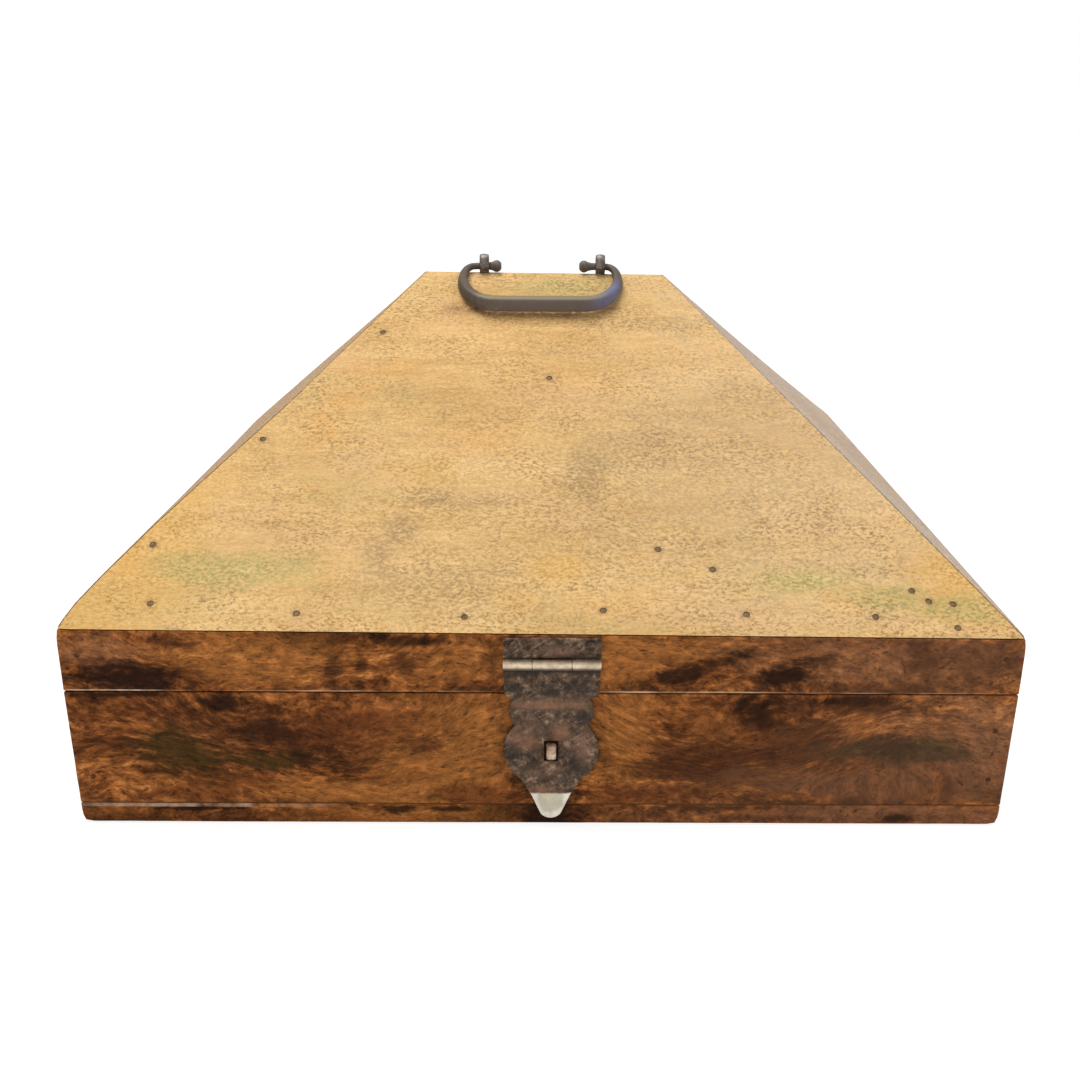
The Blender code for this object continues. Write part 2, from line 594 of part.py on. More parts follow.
def add_handle_eyes(pierced, lid):
    wall = RIDGE_Z - BATTEN_BOTTOM_Z
    section = superellipse(EYE_WIRE_WIDTH / 2, PIN_WIRE_THICKNESS / 2, EYE_SQUARENESS, WIRE_SIDES)
    path = split_pin_path(EYE_LOOP_RADIUS, EYE_LOOP_STRETCH, EYE_FILLET, EYE_NECK, wall, EYE_CLINCH)
    for side, hand in SIDES.items():
        place = Vector((hand * EYE_SPACING / 2, 0, RIDGE_Z))
        name = f"handle_eye_{side}"
        add_split_pin(name, path, section, "eye iron", place, (0, 0, 0), lid)
        hole = cuboid(split_pin_hole(EYE_WIRE_WIDTH, wall))
        cutter = add_cutter(name + "_hole", hole, place - Vector((0, 0, wall / 2)), carrier=lid)
        for piece in pierced:
            combine(piece, cutter)


def bail_path():
    # (x, reach from the pivot) from the start of an arm at the eye to the middle of the grip
    arm_x = (BAIL_WIDTH - STRAP_THICKNESS) / 2
    grip = BAIL_REACH - STRAP_THICKNESS / 2
    start_x = (EYE_SPACING + EYE_WIRE_WIDTH) / 2 + BAIL_EYE_PLAY
    straight = BAIL_GRIP_STRAIGHT / 2
    shoulder = arc((start_x, BAIL_SHOULDER_REACH), (arm_x - start_x, BAIL_SHOULDER_REACH), -pi / 2, 0)
    corner = arc((straight, BAIL_SHOULDER_REACH), (arm_x - straight, grip - BAIL_SHOULDER_REACH),
                 0, pi / 2, 2 * ARC_STEPS)
    return shoulder + corner[1:] + [(0, grip)]


def bail_section(reach):
    # The round pin flattens and widens along the arm
    along = (reach / (BAIL_REACH - STRAP_THICKNESS / 2)) ** STRAP_TAPER
    flattened = min(1, reach / BAIL_SHOULDER_REACH)
    half_width = BAIL_PIN_RADIUS + (STRAP_WIDTH / 2 - BAIL_PIN_RADIUS) * along
    half_thickness = BAIL_PIN_RADIUS + (STRAP_THICKNESS / 2 - BAIL_PIN_RADIUS) * flattened
    squareness = 2 + (STRAP_SQUARENESS - 2) * flattened
    lean = tan(STRAP_FLARE) * flattened
    ring = superellipse(half_width, half_thickness, squareness, STRAP_SIDES)
    return [(across, through - lean * across) for across, through in ring]


def knob_stations():
    middle = EYE_SPACING / 2 - KNOB_INSET
    meets_pin = pi - asin(BAIL_PIN_RADIUS / KNOB_RADIUS)
    stations = []
    for step in range(1, ARC_STEPS + 1):
        turn = meets_pin * step / ARC_STEPS
        radius = KNOB_RADIUS * sin(turn)
        ring = superellipse(radius, radius, 2, STRAP_SIDES)
        stations.append(((middle - KNOB_LENGTH / 2 * cos(turn), 0), ring))
    return stations


def add_bail(lid):
    half = knob_stations() + [((x, reach), bail_section(reach)) for x, reach in bail_path()]
    mirrored = [((-x, reach), ring) for (x, reach), ring in reversed(half[:-1])]
    bm = swept(half + mirrored, lambda point: Vector((point[0], -point[1], 0)), Vector((0, 0, 1)))
    place = BAIL_AXIS + Vector((BAIL_SIDE_REST, 0, 0))
    add_piece("handle_bail", bm, "bail iron", place, (bail_rest_tilt(), 0, 0), lid, True)


def add_rear_hinges(back_board, back_rail, lid):
    backwards = (0, 0, pi)
    for side, hand in SIDES.items():
        axis = LID_AXIS + Vector((hand * HINGE_SPACING / 2, 0, 0))
        name = f"hinge_{side}"
        upper = add_outer_leaf(name + "_upper_leaf", HINGE_LEAF_HEIGHT, "hasp bronze", axis, backwards, lid)
        lower = add_middle_leaf(name + "_lower_leaf", HINGE_LEAF_HEIGHT, "hasp bronze", axis, backwards)
        add_piece(name + "_pin", rod(HINGE_PIN_RADIUS, LEAF_WIDTH), "worn brass", axis, round_form=True)
        rise = HINGE_LEAF_HEIGHT - DOME_NAIL_EDGE
        for nail_side, nail_hand in SIDES.items():
            place = leaf_nail_place(axis, 1, nail_hand, rise)
            add_dome_nail(f"{name}_upper_nail_{nail_side}", place, 1, (upper, back_rail), lid)
            place = leaf_nail_place(axis, 1, nail_hand, -rise)
            add_dome_nail(f"{name}_lower_nail_{nail_side}", place, 1, (lower, back_board))


def build_chest():
    for old in list(bpy.data.objects):
        bpy.data.objects.remove(old, do_unlink=True)
    lid = bpy.data.objects.new("lid_hinge_axis", None)
    bpy.context.collection.objects.link(lid)
    lid.location = LID_AXIS

    add_base()
    box = add_frame(("box", "board"), "box wood", BOX_BOARD_HEIGHT, BOX_BOARD_THICKNESS, BASE_THICKNESS)
    rails = add_frame(("lid", "rail"), "rail wood", LID_RAIL_HEIGHT, LID_RAIL_THICKNESS, SEAM_Z, lid)
    add_corner_nails(box, rails, lid)
    panels = add_roof(lid)
    batten = add_batten(lid)
    add_handle_eyes((panels["front"], panels["back"], batten), lid)
    add_bail(lid)
    add_hasp(rails["front"], box["front"], lid)
    add_rear_hinges(box["back"], rails["back"], lid)


build_chest()
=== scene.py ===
from math import pi, radians

import bpy
from mathutils import Matrix, Vector


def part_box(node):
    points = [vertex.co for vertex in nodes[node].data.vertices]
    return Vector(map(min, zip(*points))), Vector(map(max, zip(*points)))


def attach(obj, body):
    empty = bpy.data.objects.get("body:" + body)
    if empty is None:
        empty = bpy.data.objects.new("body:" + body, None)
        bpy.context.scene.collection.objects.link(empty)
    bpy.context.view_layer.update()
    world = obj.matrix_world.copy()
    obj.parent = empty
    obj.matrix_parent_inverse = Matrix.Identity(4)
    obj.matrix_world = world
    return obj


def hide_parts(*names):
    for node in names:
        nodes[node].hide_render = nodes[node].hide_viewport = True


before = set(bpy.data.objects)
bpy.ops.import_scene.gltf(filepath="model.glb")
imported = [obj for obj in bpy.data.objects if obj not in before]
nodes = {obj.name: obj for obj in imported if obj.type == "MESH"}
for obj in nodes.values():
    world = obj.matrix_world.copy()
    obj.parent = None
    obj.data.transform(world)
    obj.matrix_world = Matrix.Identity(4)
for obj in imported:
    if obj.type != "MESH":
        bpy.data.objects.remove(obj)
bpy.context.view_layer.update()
mm = 0.001


# camera, at the photograph's viewpoint

photoView = {
    "place": (-4.4, -732.9, 340.6),                    # mm
    "yaw": -0.319, "pitch": 19.987, "roll": 0.377,     # degrees
    "lens": 40.29, "sensor": 36, "nearest": 0.01,      # mm, and the near clipping in metres
}


def addCamera(view):
    turn = (Matrix.Rotation(radians(view["yaw"]), 3, "Z")
            @ Matrix.Rotation(pi / 2 - radians(view["pitch"]), 3, "X")
            @ Matrix.Rotation(radians(view["roll"]), 3, "Z"))
    bpy.ops.object.camera_add(location=Vector(view["place"]) * mm, rotation=turn.to_euler())
    camera = bpy.context.object
    camera.data.lens = view["lens"]
    camera.data.sensor_width = view["sensor"]
    camera.data.clip_start = view["nearest"]
    bpy.context.scene.camera = camera


addCamera(photoView)
print("camera placed")


# a material, and the few node calls that every finish here is made with

class Finish:
    def __init__(self, name, fixed):
        self.material = bpy.data.materials.new(name)
        self.material.use_nodes = True
        self.tree = self.material.node_tree
        self.shader = self.tree.nodes["Principled BSDF"]
        for socket, value in fixed.items():
            self.shader.inputs[socket].default_value = value
        coordinates = self.tree.nodes.new("ShaderNodeTexCoord")
        self.place = coordinates.outputs["Object"]
        self.facing = coordinates.outputs["Normal"]

    def node(self, kind, sockets, out=0, **settings):
        made = self.tree.nodes.new("ShaderNode" + kind)
        for name, value in settings.items():
            setattr(made, name, value)
        for key, value in sockets.items():
            socket = made.inputs[key]
            if isinstance(value, bpy.types.NodeSocket):
                self.tree.links.new(value, socket)
            else:
                socket.default_value = (*value, 1) if socket.type == "RGBA" else value
        return made.outputs[out]

    def math(self, operation, a, b=0.0):
        return self.node("Math", {0: a, 1: b}, operation=operation)

    def total(self, *parts):                           # weighted sum of (value, weight) pairs
        result = None
        for value, weight in parts:
            part = self.math("MULTIPLY", value, weight)
            result = part if result is None else self.math("ADD", result, part)
        return result

    def mapped(self, vector, scale=(1, 1, 1), turn=0.0, lean=0.0, shift=(0, 0, 0)):
        return self.node("Mapping", {"Vector": vector, "Scale": scale, "Location": shift,
                                     "Rotation": (0, radians(lean), radians(turn))})

    def noise(self, vector, scale=1.0, detail=2.0, rough=0.5, out="Fac"):
        return self.node("TexNoise", {"Vector": vector, "Scale": scale, "Detail": detail,
                                      "Roughness": rough}, out)

    def grains(self, vector, settings):                # one noise for each named grain
        return {name: self.noise(self.mapped(vector, scale), 1, detail, rough)
                for name, (scale, detail, rough) in settings.items()}

    def wander(self, vector, scale, amount):           # moves a pattern slowly about
        drift = self.node("VectorMath", {0: self.noise(vector, scale, 2, 0.5, "Color"), 1: (0.5, 0.5, 0.5)},
                          operation="SUBTRACT")
        return self.node("VectorMath", {0: drift, 1: amount, 2: vector}, operation="MULTIPLY_ADD")

    def band(self, value, low, high):                  # 0 at low, 1 at high, soft between
        return self.node("MapRange", {"Value": value, "From Min": low, "From Max": high},
                         interpolation_type="SMOOTHSTEP")

    def spread(self, value, low, high, least=0.0, most=1.0):   # stretches a middling noise to a full range
        return self.node("MapRange", {"Value": value, "From Min": low, "From Max": high,
                                      "To Min": least, "To Max": most})

    def oval(self, centre, radii, turn=0.0, ragged=None, rim=(1.25, 0.35)):   # 1 inside, 0 past a ragged rim
        local = self.node("Mapping", {"Vector": self.place, "Location": Vector(centre) * mm,
                                      "Scale": Vector(radii) * mm, "Rotation": (0, radians(turn), 0)},
                          vector_type="TEXTURE")
        reach = self.node("VectorMath", {0: local}, "Value", operation="LENGTH")
        if ragged is not None:
            reach = self.math("ADD", reach, ragged)
        return self.band(reach, *rim)

    def axis(self, vector, letter):
        return self.node("SeparateXYZ", {0: vector}, letter)

    def mix(self, factor, a, b):
        return self.node("Mix", {0: factor, 6: a, 7: b}, 2, data_type="RGBA")

    def shaded(self, colour, factor):                  # darker or lighter, the same hue
        return self.node("VectorMath", {0: colour, "Scale": factor}, operation="SCALE")

    def ramp(self, value, stops):
        made = self.tree.nodes.new("ShaderNodeValToRGB")
        self.tree.links.new(value, made.inputs[0])
        steps = made.color_ramp.elements
        while len(steps) < len(stops):
            steps.new(0.5)
        for step, (position, colour) in zip(steps, stops):
            step.position = position
            step.color = (*colour, 1)
        return made.outputs[0]

    def feed(self, socket, value):
        self.tree.links.new(value, self.shader.inputs[socket])

    def bump(self, height, strength, depth):
        relief = self.node("Bump", {"Strength": strength, "Distance": depth * mm, "Height": height})
        self.feed("Normal", relief)


# dark varnished boards: wavy figure, dark smudges, worn arrises, and painted shadow round the hasp and under
# the lid's edge

boardTones = [(0.00, (0.030, 0.009, 0.003)), (0.28, (0.105, 0.033, 0.009)), (0.52, (0.225, 0.073, 0.018)),
              (0.76, (0.385, 0.135, 0.034)), (1.00, (0.560, 0.220, 0.060))]
blotAndShadowColours = {
    "black": (0.026, 0.009, 0.004), "green": (0.066, 0.033, 0.008), "dark": (0.085, 0.028, 0.010),
    "gold": (0.440, 0.166, 0.041), "orange": (0.400, 0.135, 0.034), "dusty": (0.290, 0.125, 0.056),
    "red": (0.150, 0.043, 0.012), "moss": (0.072, 0.046, 0.020), "haze": (0.165, 0.075, 0.038),
    "pore": (0.028, 0.009, 0.004),
}
boardGrain = {                                         # stretch along x, y and z, detail, roughness
    "broad": ((9, 34, 34), 3, 0.55), "lines": ((30, 220, 220), 4, 0.65), "fleck": ((130, 220, 220), 5, 0.70),
    "fibre": ((420, 800, 800), 3, 0.65), "rag": ((40, 90, 90), 4, 0.65), "pores": ((240, 520, 520), 3, 0.6),
}
blotDepth = 60                                         # mm, how far a blot goes into a board
innerTones = [(0.25, (0.300, 0.165, 0.075)), (0.75, (0.440, 0.265, 0.130))]
wornArris = (0.740, 0.530, 0.370)


def bentGrain(wood, look):                             # grain along the board and round its swirls
    lift = None
    for x, z, wide, high, rise in look.get("swirls", []):
        share = wood.math("MULTIPLY", wood.oval((x, look["face"], z), (wide, blotDepth, high)), rise * mm)
        lift = share if lift is None else wood.math("ADD", lift, share)
    grain = wood.mapped(wood.place, turn=look["turn"], shift=look["shift"])
    if lift is not None:
        grain = wood.node("VectorMath", {0: grain, 1: wood.node("CombineXYZ", {2: lift})}, operation="ADD")
    return wood.wander(wood.wander(grain, 9, (0.012, 0.028, 0.028)), 45, (0.010, 0.012, 0.012))


def boardWood(name, look):
    wood = Finish(name, {"Specular IOR Level": 0.05})
    grain = wood.grains(bentGrain(wood, look), boardGrain)
    lines, fleck, fibre = grain["lines"], grain["fleck"], grain["fibre"]
    tone = wood.spread(wood.total((grain["broad"], 0.40), (lines, 0.20), (fleck, 0.40)), 0.38, 0.63)
    colour = wood.ramp(tone, boardTones)
    rag = wood.math("SUBTRACT", wood.total((grain["rag"], 1.7), (fleck, 0.9)), 1.3)
    # these patches include painted shadow: black ovals round the hasp and a thin black line under the lid's
    # edge
    for x, z, wide, high, turn, tint, strength in look.get("blotsAndShadows", []):
        spot = wood.oval((x, look["face"], z), (wide, blotDepth, high), turn, rag)
        colour = wood.mix(wood.math("MULTIPLY", spot, strength), colour, blotAndShadowColours[tint])
    mottle = wood.total((lines, 0.14), (fleck, 0.52), (fibre, 0.34))
    colour = wood.shaded(colour, wood.spread(mottle, 0.37, 0.63, 0.50, 1.55))
    pores = wood.band(grain["pores"], 0.56, 0.70)
    colour = wood.mix(wood.math("MULTIPLY", pores, 0.65), colour, blotAndShadowColours["pore"])
    for x, z, wide, high, strength in look.get("hazes", []):           # an even, duller tone that hides the figure
        soft = wood.math("MULTIPLY", rag, 0.5)
        haze = wood.oval((x, look["face"], z), (wide, blotDepth, high), 0, soft, (1.3, 0.1))
        colour = wood.mix(wood.math("MULTIPLY", haze, strength), colour, blotAndShadowColours["haze"])
    height = wood.axis(wood.place, "Z")
    for low, high, middle, half, strength in look.get("wornLines", []):
        line = wood.math("MULTIPLY", wood.band(height, low * mm, (low + 0.3) * mm),
                         wood.band(height, (high + 0.3) * mm, high * mm))
        away = wood.math("ABSOLUTE", wood.math("SUBTRACT", wood.axis(wood.place, "X"), middle * mm))
        run = wood.band(away, half * mm, 0.3 * half * mm)
        patchy = wood.band(wood.noise(wood.place, 45, 4, 0.7), 0.30, 0.66)
        share = wood.math("MULTIPLY", wood.math("MULTIPLY", line, run), patchy)
        colour = wood.mix(wood.math("MULTIPLY", share, strength), colour, wornArris)
    inside = wood.node("VectorMath", {0: wood.facing, 1: look["inward"]}, "Value", operation="DOT_PRODUCT")
    bare = wood.ramp(wood.total((lines, 0.7), (fibre, 0.3)), innerTones)
    colour = wood.mix(wood.band(inside, 0.90, 0.97), colour, bare)
    wood.feed("Base Color", colour)
    wood.feed("Roughness", wood.spread(lines, 0, 1, 0.40, 0.62))
    wood.bump(wood.math("SUBTRACT", wood.total((fibre, 0.5), (fleck, 0.6)), pores), 0.35, 0.25)
    return wood.material


# pale roof wood: open pores, ochre and olive clouds, a few old stained patches, painted shadow under the
# handle and a painted reflection over the right slope

roofTones = [(0.00, (0.520, 0.310, 0.110)), (0.50, (0.680, 0.435, 0.175)), (1.00, (0.800, 0.545, 0.255))]
roofClouds = {"ochre": (0.740, 0.400, 0.120), "olive": (0.520, 0.390, 0.160), "pink": (0.720, 0.450, 0.225)}
stainAndLightColours = {
    "green": (0.440, 0.375, 0.135), "grey": (0.400, 0.270, 0.126), "ochre": (0.700, 0.395, 0.090),
    "rust": (0.640, 0.330, 0.105), "soot": (0.170, 0.110, 0.065), "slate": (0.238, 0.243, 0.282),
    "umber": (0.330, 0.210, 0.120), "chalk": (0.650, 0.472, 0.300), "shade": (0.235, 0.105, 0.045),
    "pore": (0.345, 0.210, 0.086),
}
roofGrain = {                                          # stretch along x, y and z, detail, roughness
    "broad": ((9, 22, 22), 4, 0.6), "streak": ((18, 210, 210), 4, 0.65), "grit": ((800, 1100, 1100), 3, 0.65),
    "worms": ((480, 740, 740), 2.5, 0.6), "dashes": ((120, 800, 800), 3, 0.6), "rag": ((34, 70, 70), 5, 0.7),
}


def roofWood(name, look):
    wood = Finish(name, {"Specular IOR Level": 0.10})
    placed = wood.mapped(wood.place, turn=look["turn"], shift=look["shift"])
    bent = wood.wander(wood.wander(placed, 12, (0.004, 0.010, 0.010)), 130, (0.003, 0.003, 0.003))
    grain = wood.grains(bent, roofGrain)
    streak, grit, worms = grain["streak"], grain["grit"], grain["worms"]
    tone = wood.total((grain["broad"], 0.26), (streak, 0.21), (grain["dashes"], 0.21), (grit, 0.32))
    colour = wood.ramp(wood.spread(tone, 0.41, 0.59), roofTones)
    for order, tint in enumerate(roofClouds.values()):
        apart = (order + 0.3, 2.0 * order, 0.7)
        cloud = wood.noise(wood.mapped(bent, (14, 26, 26), shift=apart), 1, 5, 0.65)
        colour = wood.mix(wood.math("MULTIPLY", wood.band(cloud, 0.52, 0.68), 0.45), colour, tint)
    rag = wood.math("SUBTRACT", wood.total((grain["rag"], 2.0), (worms, 0.9)), 1.45)
    flecked = wood.spread(worms, 0.38, 0.60, 0.20, 1.45)
    # the list holds old stained patches, painted shadow under the handle and a painted reflection on the
    # right slope
    for centre, wide, high, tint, strength in look["stainsAndPaintedLight"]:
        spot = wood.math("MULTIPLY", wood.oval(centre, (wide, high, high), 0, rag), flecked)
        colour = wood.mix(wood.math("MULTIPLY", spot, strength), colour, stainAndLightColours[tint])
    pores = wood.math("MULTIPLY", wood.band(worms, 0.46, 0.62), wood.band(grit, 0.32, 0.56))
    patch = wood.noise(wood.mapped(bent, (26, 44, 44), shift=(5.1, 0.4, 2.2)), 1, 4, 0.6)
    depth = wood.math("MULTIPLY", wood.spread(patch, 0.36, 0.64, 0.25, 1.2), look["poreDepth"])
    colour = wood.mix(wood.math("MULTIPLY", pores, depth), colour, stainAndLightColours["pore"])
    bare = wood.ramp(streak, innerTones)
    colour = wood.mix(wood.band(wood.axis(wood.facing, "Z"), -0.3, -0.5), colour, bare)
    wood.feed("Base Color", colour)
    wood.feed("Roughness", wood.spread(streak, 0, 1, 0.46, 0.66))
    wood.bump(wood.math("SUBTRACT", wood.total((streak, 0.3), (grit, 0.6)), pores), 0.35, 0.25)
    return wood.material


# forged iron, patinated bronze and old nails

def forgedIron(name, look):
    iron = Finish(name, {"Metallic": look["metallic"], "Specular IOR Level": look.get("gloss", 0.35)})
    mottle = iron.noise(iron.place, look["mottle"], 5, 0.65)
    pitting = iron.noise(iron.place, look["pitting"], 3, 0.6)
    tone = iron.spread(iron.total((mottle, 0.6), (pitting, 0.4)), 0.36, 0.64)
    colour = iron.ramp(tone, [(0.0, look["dark"]), (0.5, look["body"]), (1.0, look["bright"])])
    for centre, radius, tint, strength in look.get("sheens", []):
        colour = iron.mix(iron.math("MULTIPLY", iron.oval(centre, (radius,) * 3), strength), colour, tint)
    if "rubbedAndLitFace" in look:                           # the edge that hands and cloth have rubbed, also painted lighter as a painted reflection of the roof
        face, tint, strength, centre, radii = look["rubbedAndLitFace"]
        towards = iron.node("VectorMath", {0: iron.facing, 1: face}, "Value", operation="DOT_PRODUCT")
        grip = iron.oval(centre, radii, rim=(1.1, 0.8))
        rubbedAndLit = iron.math("MULTIPLY", iron.band(towards, 0.70, 0.97), grip)
        colour = iron.mix(iron.math("MULTIPLY", rubbedAndLit, strength), colour, tint)
    iron.feed("Base Color", colour)
    iron.feed("Roughness", iron.spread(pitting, 0, 1, 0.34, 0.60))
    iron.bump(pitting, 0.25, 0.15)
    return iron.material


patinaTones = [(0.00, (0.023, 0.014, 0.008)), (0.30, (0.058, 0.034, 0.020)), (0.55, (0.101, 0.062, 0.037)),
               (0.78, (0.162, 0.099, 0.062)), (1.00, (0.300, 0.190, 0.122))]
rubAndLightColours = {
    "copper": (0.260, 0.126, 0.070), "pink": (0.270, 0.145, 0.095), "brown": (0.165, 0.094, 0.055),
    "dark": (0.033, 0.023, 0.016), "bare": (0.860, 0.800, 0.680), "pale": (0.640, 0.580, 0.440),
    "scratch": (0.330, 0.230, 0.165), "grimeAndShadow": (0.020, 0.013, 0.009), "dull": (0.110, 0.080, 0.055),
}
barrelTones = [(0.08, (0.030, 0.021, 0.014)), (0.34, (0.170, 0.120, 0.076)), (0.56, (0.760, 0.615, 0.450)),
               (0.72, (0.740, 0.590, 0.425)), (0.94, (0.200, 0.145, 0.095))]          # from below to above: painted shade underneath, a painted highlight band, darker again on top
haspPatinaAndLight = {
    "barrelAxis": (0, -215.0, 89.0), "barrelRadius": 2.7, "face": -213, "through": 40,    # mm
    "patches": [                                       # x, z, half width, half height, colour, strength
        (4, 68, 24, 4.5, "brown", 0.75), (2, 67.5, 20, 2.2, "copper", 0.7), (-8, 55, 13, 5, "brown", 0.6),
        (9, 53, 5, 6, "copper", 0.75), (-8, 47, 7, 5, "copper", 0.70), (-15, 50, 5, 4, "pink", 0.5),
        (21, 44, 4, 10, "pink", 0.55), (15, 47, 6, 4, "pink", 0.45), (-15, 40, 8, 6, "dark", 0.6),
        (-12, 76, 8, 4, "dark", 0.75), (4, 75, 8, 4, "dark", 0.75), (18, 77, 8, 5, "dark", 0.5),
        (8, 96, 9, 3, "pink", 0.45), (1, 31, 12, 4, "brown", 0.4), (0, 20.5, 9, 2.5, "copper", 0.6),
        (-18, 61, 5, 5, "dark", 0.5), (20, 60, 6, 5, "dark", 0.5), (16, 30, 6, 8, "dark", 0.4)],
    "grimeAndShadow": (81.8, 86.2, 92.0),                       # mm: the painted shadow under the barrel starts, is full and ends
    "tip": {"top": 18.5, "centre": (4.6, -214, 18.5), "radii": (6.9, 40, 11.6)},
}
hingePatinaAndLight = {"barrelAxis": (0, 215.0, 72.6), "barrelRadius": 2.7}


def haspMetal(name, look):
    metal = Finish(name, {"Metallic": 0.30, "Specular IOR Level": 0.25})
    mottle = metal.noise(metal.place, 170, 6, 0.7)
    speckle = metal.noise(metal.place, 330, 5, 0.68)
    rubbing = metal.noise(metal.mapped(metal.mapped(metal.place, lean=32), (90, 300, 700)), 1, 4, 0.65)
    tone = metal.total((mottle, 0.45), (speckle, 0.38), (rubbing, 0.17))
    colour = metal.ramp(metal.spread(tone, 0.40, 0.61), patinaTones)
    rag = metal.math("SUBTRACT", metal.total((mottle, 2.2), (speckle, 1.4)), 1.8)
    for x, z, wide, high, tint, strength in look.get("patches", []):
        spot = metal.oval((x, look["face"], z), (wide, look["through"], high), 0, rag)
        colour = metal.mix(metal.math("MULTIPLY", spot, strength), colour, rubAndLightColours[tint])
    colour = metal.shaded(colour, metal.spread(speckle, 0.36, 0.64, 0.70, 1.30))
    scratched = metal.math("MULTIPLY", metal.band(rubbing, 0.60, 0.70), 0.5)
    colour = metal.mix(scratched, colour, rubAndLightColours["scratch"])
    pits = metal.band(metal.noise(metal.place, 430, 2, 0.5), 0.60, 0.70)
    colour = metal.mix(metal.math("MULTIPLY", pits, 0.55), colour, rubAndLightColours["grimeAndShadow"])
    height = metal.axis(metal.place, "Z")
    # painted shadow of the barrel on the metal just below it
    if "grimeAndShadow" in look:
        low, full, top = (level * mm for level in look["grimeAndShadow"])
        under = metal.math("MULTIPLY", metal.band(height, low, full),
                           metal.band(height, top + 0.6 * mm, top))
        colour = metal.mix(metal.math("MULTIPLY", under, 0.9), colour, rubAndLightColours["grimeAndShadow"])
    axis = Vector(look["barrelAxis"]) * mm
    local = metal.node("VectorMath", {0: metal.place, 1: axis}, operation="SUBTRACT")
    section = metal.node("VectorMath", {0: local, 1: (0, 1, 1)}, operation="MULTIPLY")
    reach = metal.node("VectorMath", {0: section}, "Value", operation="LENGTH")
    barrel = metal.band(reach, (look["barrelRadius"] + 0.45) * mm, (look["barrelRadius"] + 0.15) * mm)
    barrel = metal.math("MULTIPLY", barrel, metal.band(metal.axis(local, "Y"), 1.45 * mm, 1.15 * mm))
    level = metal.math("MULTIPLY", metal.axis(local, "Z"), 1 / (look["barrelRadius"] * mm))
    # worn brass on each barrel, painted with a highlight band and darker shade above and below
    wornAndLit = metal.ramp(metal.math("ADD", metal.math("MULTIPLY", level, 0.5), 0.5), barrelTones)
    wornAndLit = metal.shaded(wornAndLit, metal.spread(speckle, 0.36, 0.64, 0.75, 1.2))
    if "patches" not in look:                          # the rear hinges are not rubbed by hands
        wornAndLit = metal.mix(0.65, wornAndLit, rubAndLightColours["dull"])
    colour = metal.mix(barrel, colour, wornAndLit)
    if "tip" in look:
        tip = look["tip"]
        # the filed tip is bare worn metal; its rim is painted brighter as a painted highlight on the chamfer
        heart = metal.oval(tip["centre"], tip["radii"], 0, metal.math("MULTIPLY", rag, 0.10), (1.06, 0.84))
        bareWithRimHighlight = metal.mix(heart, rubAndLightColours["bare"], rubAndLightColours["pale"])
        bareWithRimHighlight = metal.shaded(bareWithRimHighlight, metal.spread(mottle, 0.34, 0.66, 0.84, 1.16))
        edge = metal.math("ADD", height, metal.math("MULTIPLY", rag, 1.0 * mm))
        below = metal.band(edge, (tip["top"] + 0.6) * mm, (tip["top"] - 0.6) * mm)
        colour = metal.mix(below, colour, bareWithRimHighlight)
    metal.feed("Base Color", colour)
    metal.feed("Roughness", metal.spread(speckle, 0, 1, 0.38, 0.64))
    metal.bump(metal.math("SUBTRACT", metal.total((mottle, 0.8), (rubbing, 0.5)), pits), 0.40, 0.25)
    return metal.material


# wooden pieces: planks with rounded, slightly nibbled arrises

plankWear = {
    "arris": 0.7, "rounds": 3,                         # mm, and steps round an arris
    "pitch": 4.0,                                      # mm between points along a plank
    "waves": (60, 0.20), "nicks": (7, 0.16),           # grain of the wear and its depth, mm
}
axes = {"x": Vector((1, 0, 0)), "y": Vector((0, 1, 0)), "z": Vector((0, 0, 1))}
smoothAngles = {"plank": 50, "edge": 35, "round": 60, "nail": 45}     # degrees, smooth up to these
tolerance = {"flat": 0.02, "level": 0.05, "weld": 0.002}               # mm
wearTextures = {}
for wear in ("waves", "nicks"):
    wearTextures[wear] = bpy.data.textures.new(wear, "CLOUDS")
    wearTextures[wear].noise_scale = plankWear[wear][0] * mm


def inEditMode(piece, work):
    bpy.ops.object.select_all(action="DESELECT")
    piece.select_set(True)
    bpy.context.view_layer.objects.active = piece
    bpy.ops.object.mode_set(mode="EDIT")
    bpy.context.tool_settings.mesh_select_mode = (False, True, False)
    work()
    bpy.ops.object.mode_set(mode="OBJECT")


def pickEdges(piece, wanted):
    mesh = piece.data
    for group in (mesh.vertices, mesh.edges, mesh.polygons):
        group.foreach_set("select", [False] * len(group))
    for edge in mesh.edges:
        start, end = (mesh.vertices[index].co for index in edge.vertices)
        edge.select = wanted(end - start)


def subdivideAlong(piece, wanted, cuts):
    pickEdges(piece, wanted)
    inEditMode(piece, lambda: bpy.ops.mesh.subdivide(number_cuts=cuts))


lidTwist = {                                           # the old lid has warped; the frame's own lid is true
    "seam": 72.6, "eave": 103.0, "ridge": 243.5, "reach": (230, 212),      # mm
    "rise": {(-1, -1): 2.0, (1, -1): -1.0, (-1, 1): -5.0, (1, 1): 3.5},    # mm at each corner of the eave
    "ridgeTilt": -0.008, "ridgeHalf": 70.5,            # rise of the ridge along x, and half its length
    "bows": {                                          # share of the height and mm outwards at a hip
        (-1, -1): [(0, 0), (0.06, 3.5), (0.13, 4.6), (0.25, 4.6), (0.36, 3.3), (0.44, 2.1), (0.53, 0.4),
                   (0.61, -0.6), (0.71, -0.6), (0.81, -1.4), (1, -2.5)],
        (-1, 1): [(0, -2.4), (0.25, -4.0), (0.6, -4.8), (0.85, -4.2), (1, -2.5)]},
}
boxFoot = {"taper": 0.9, "round": 3.5}                 # mm: narrower each side, and its rounded ends
wornCorners = {"reach": 7.0, "depth": 1.0}             # mm


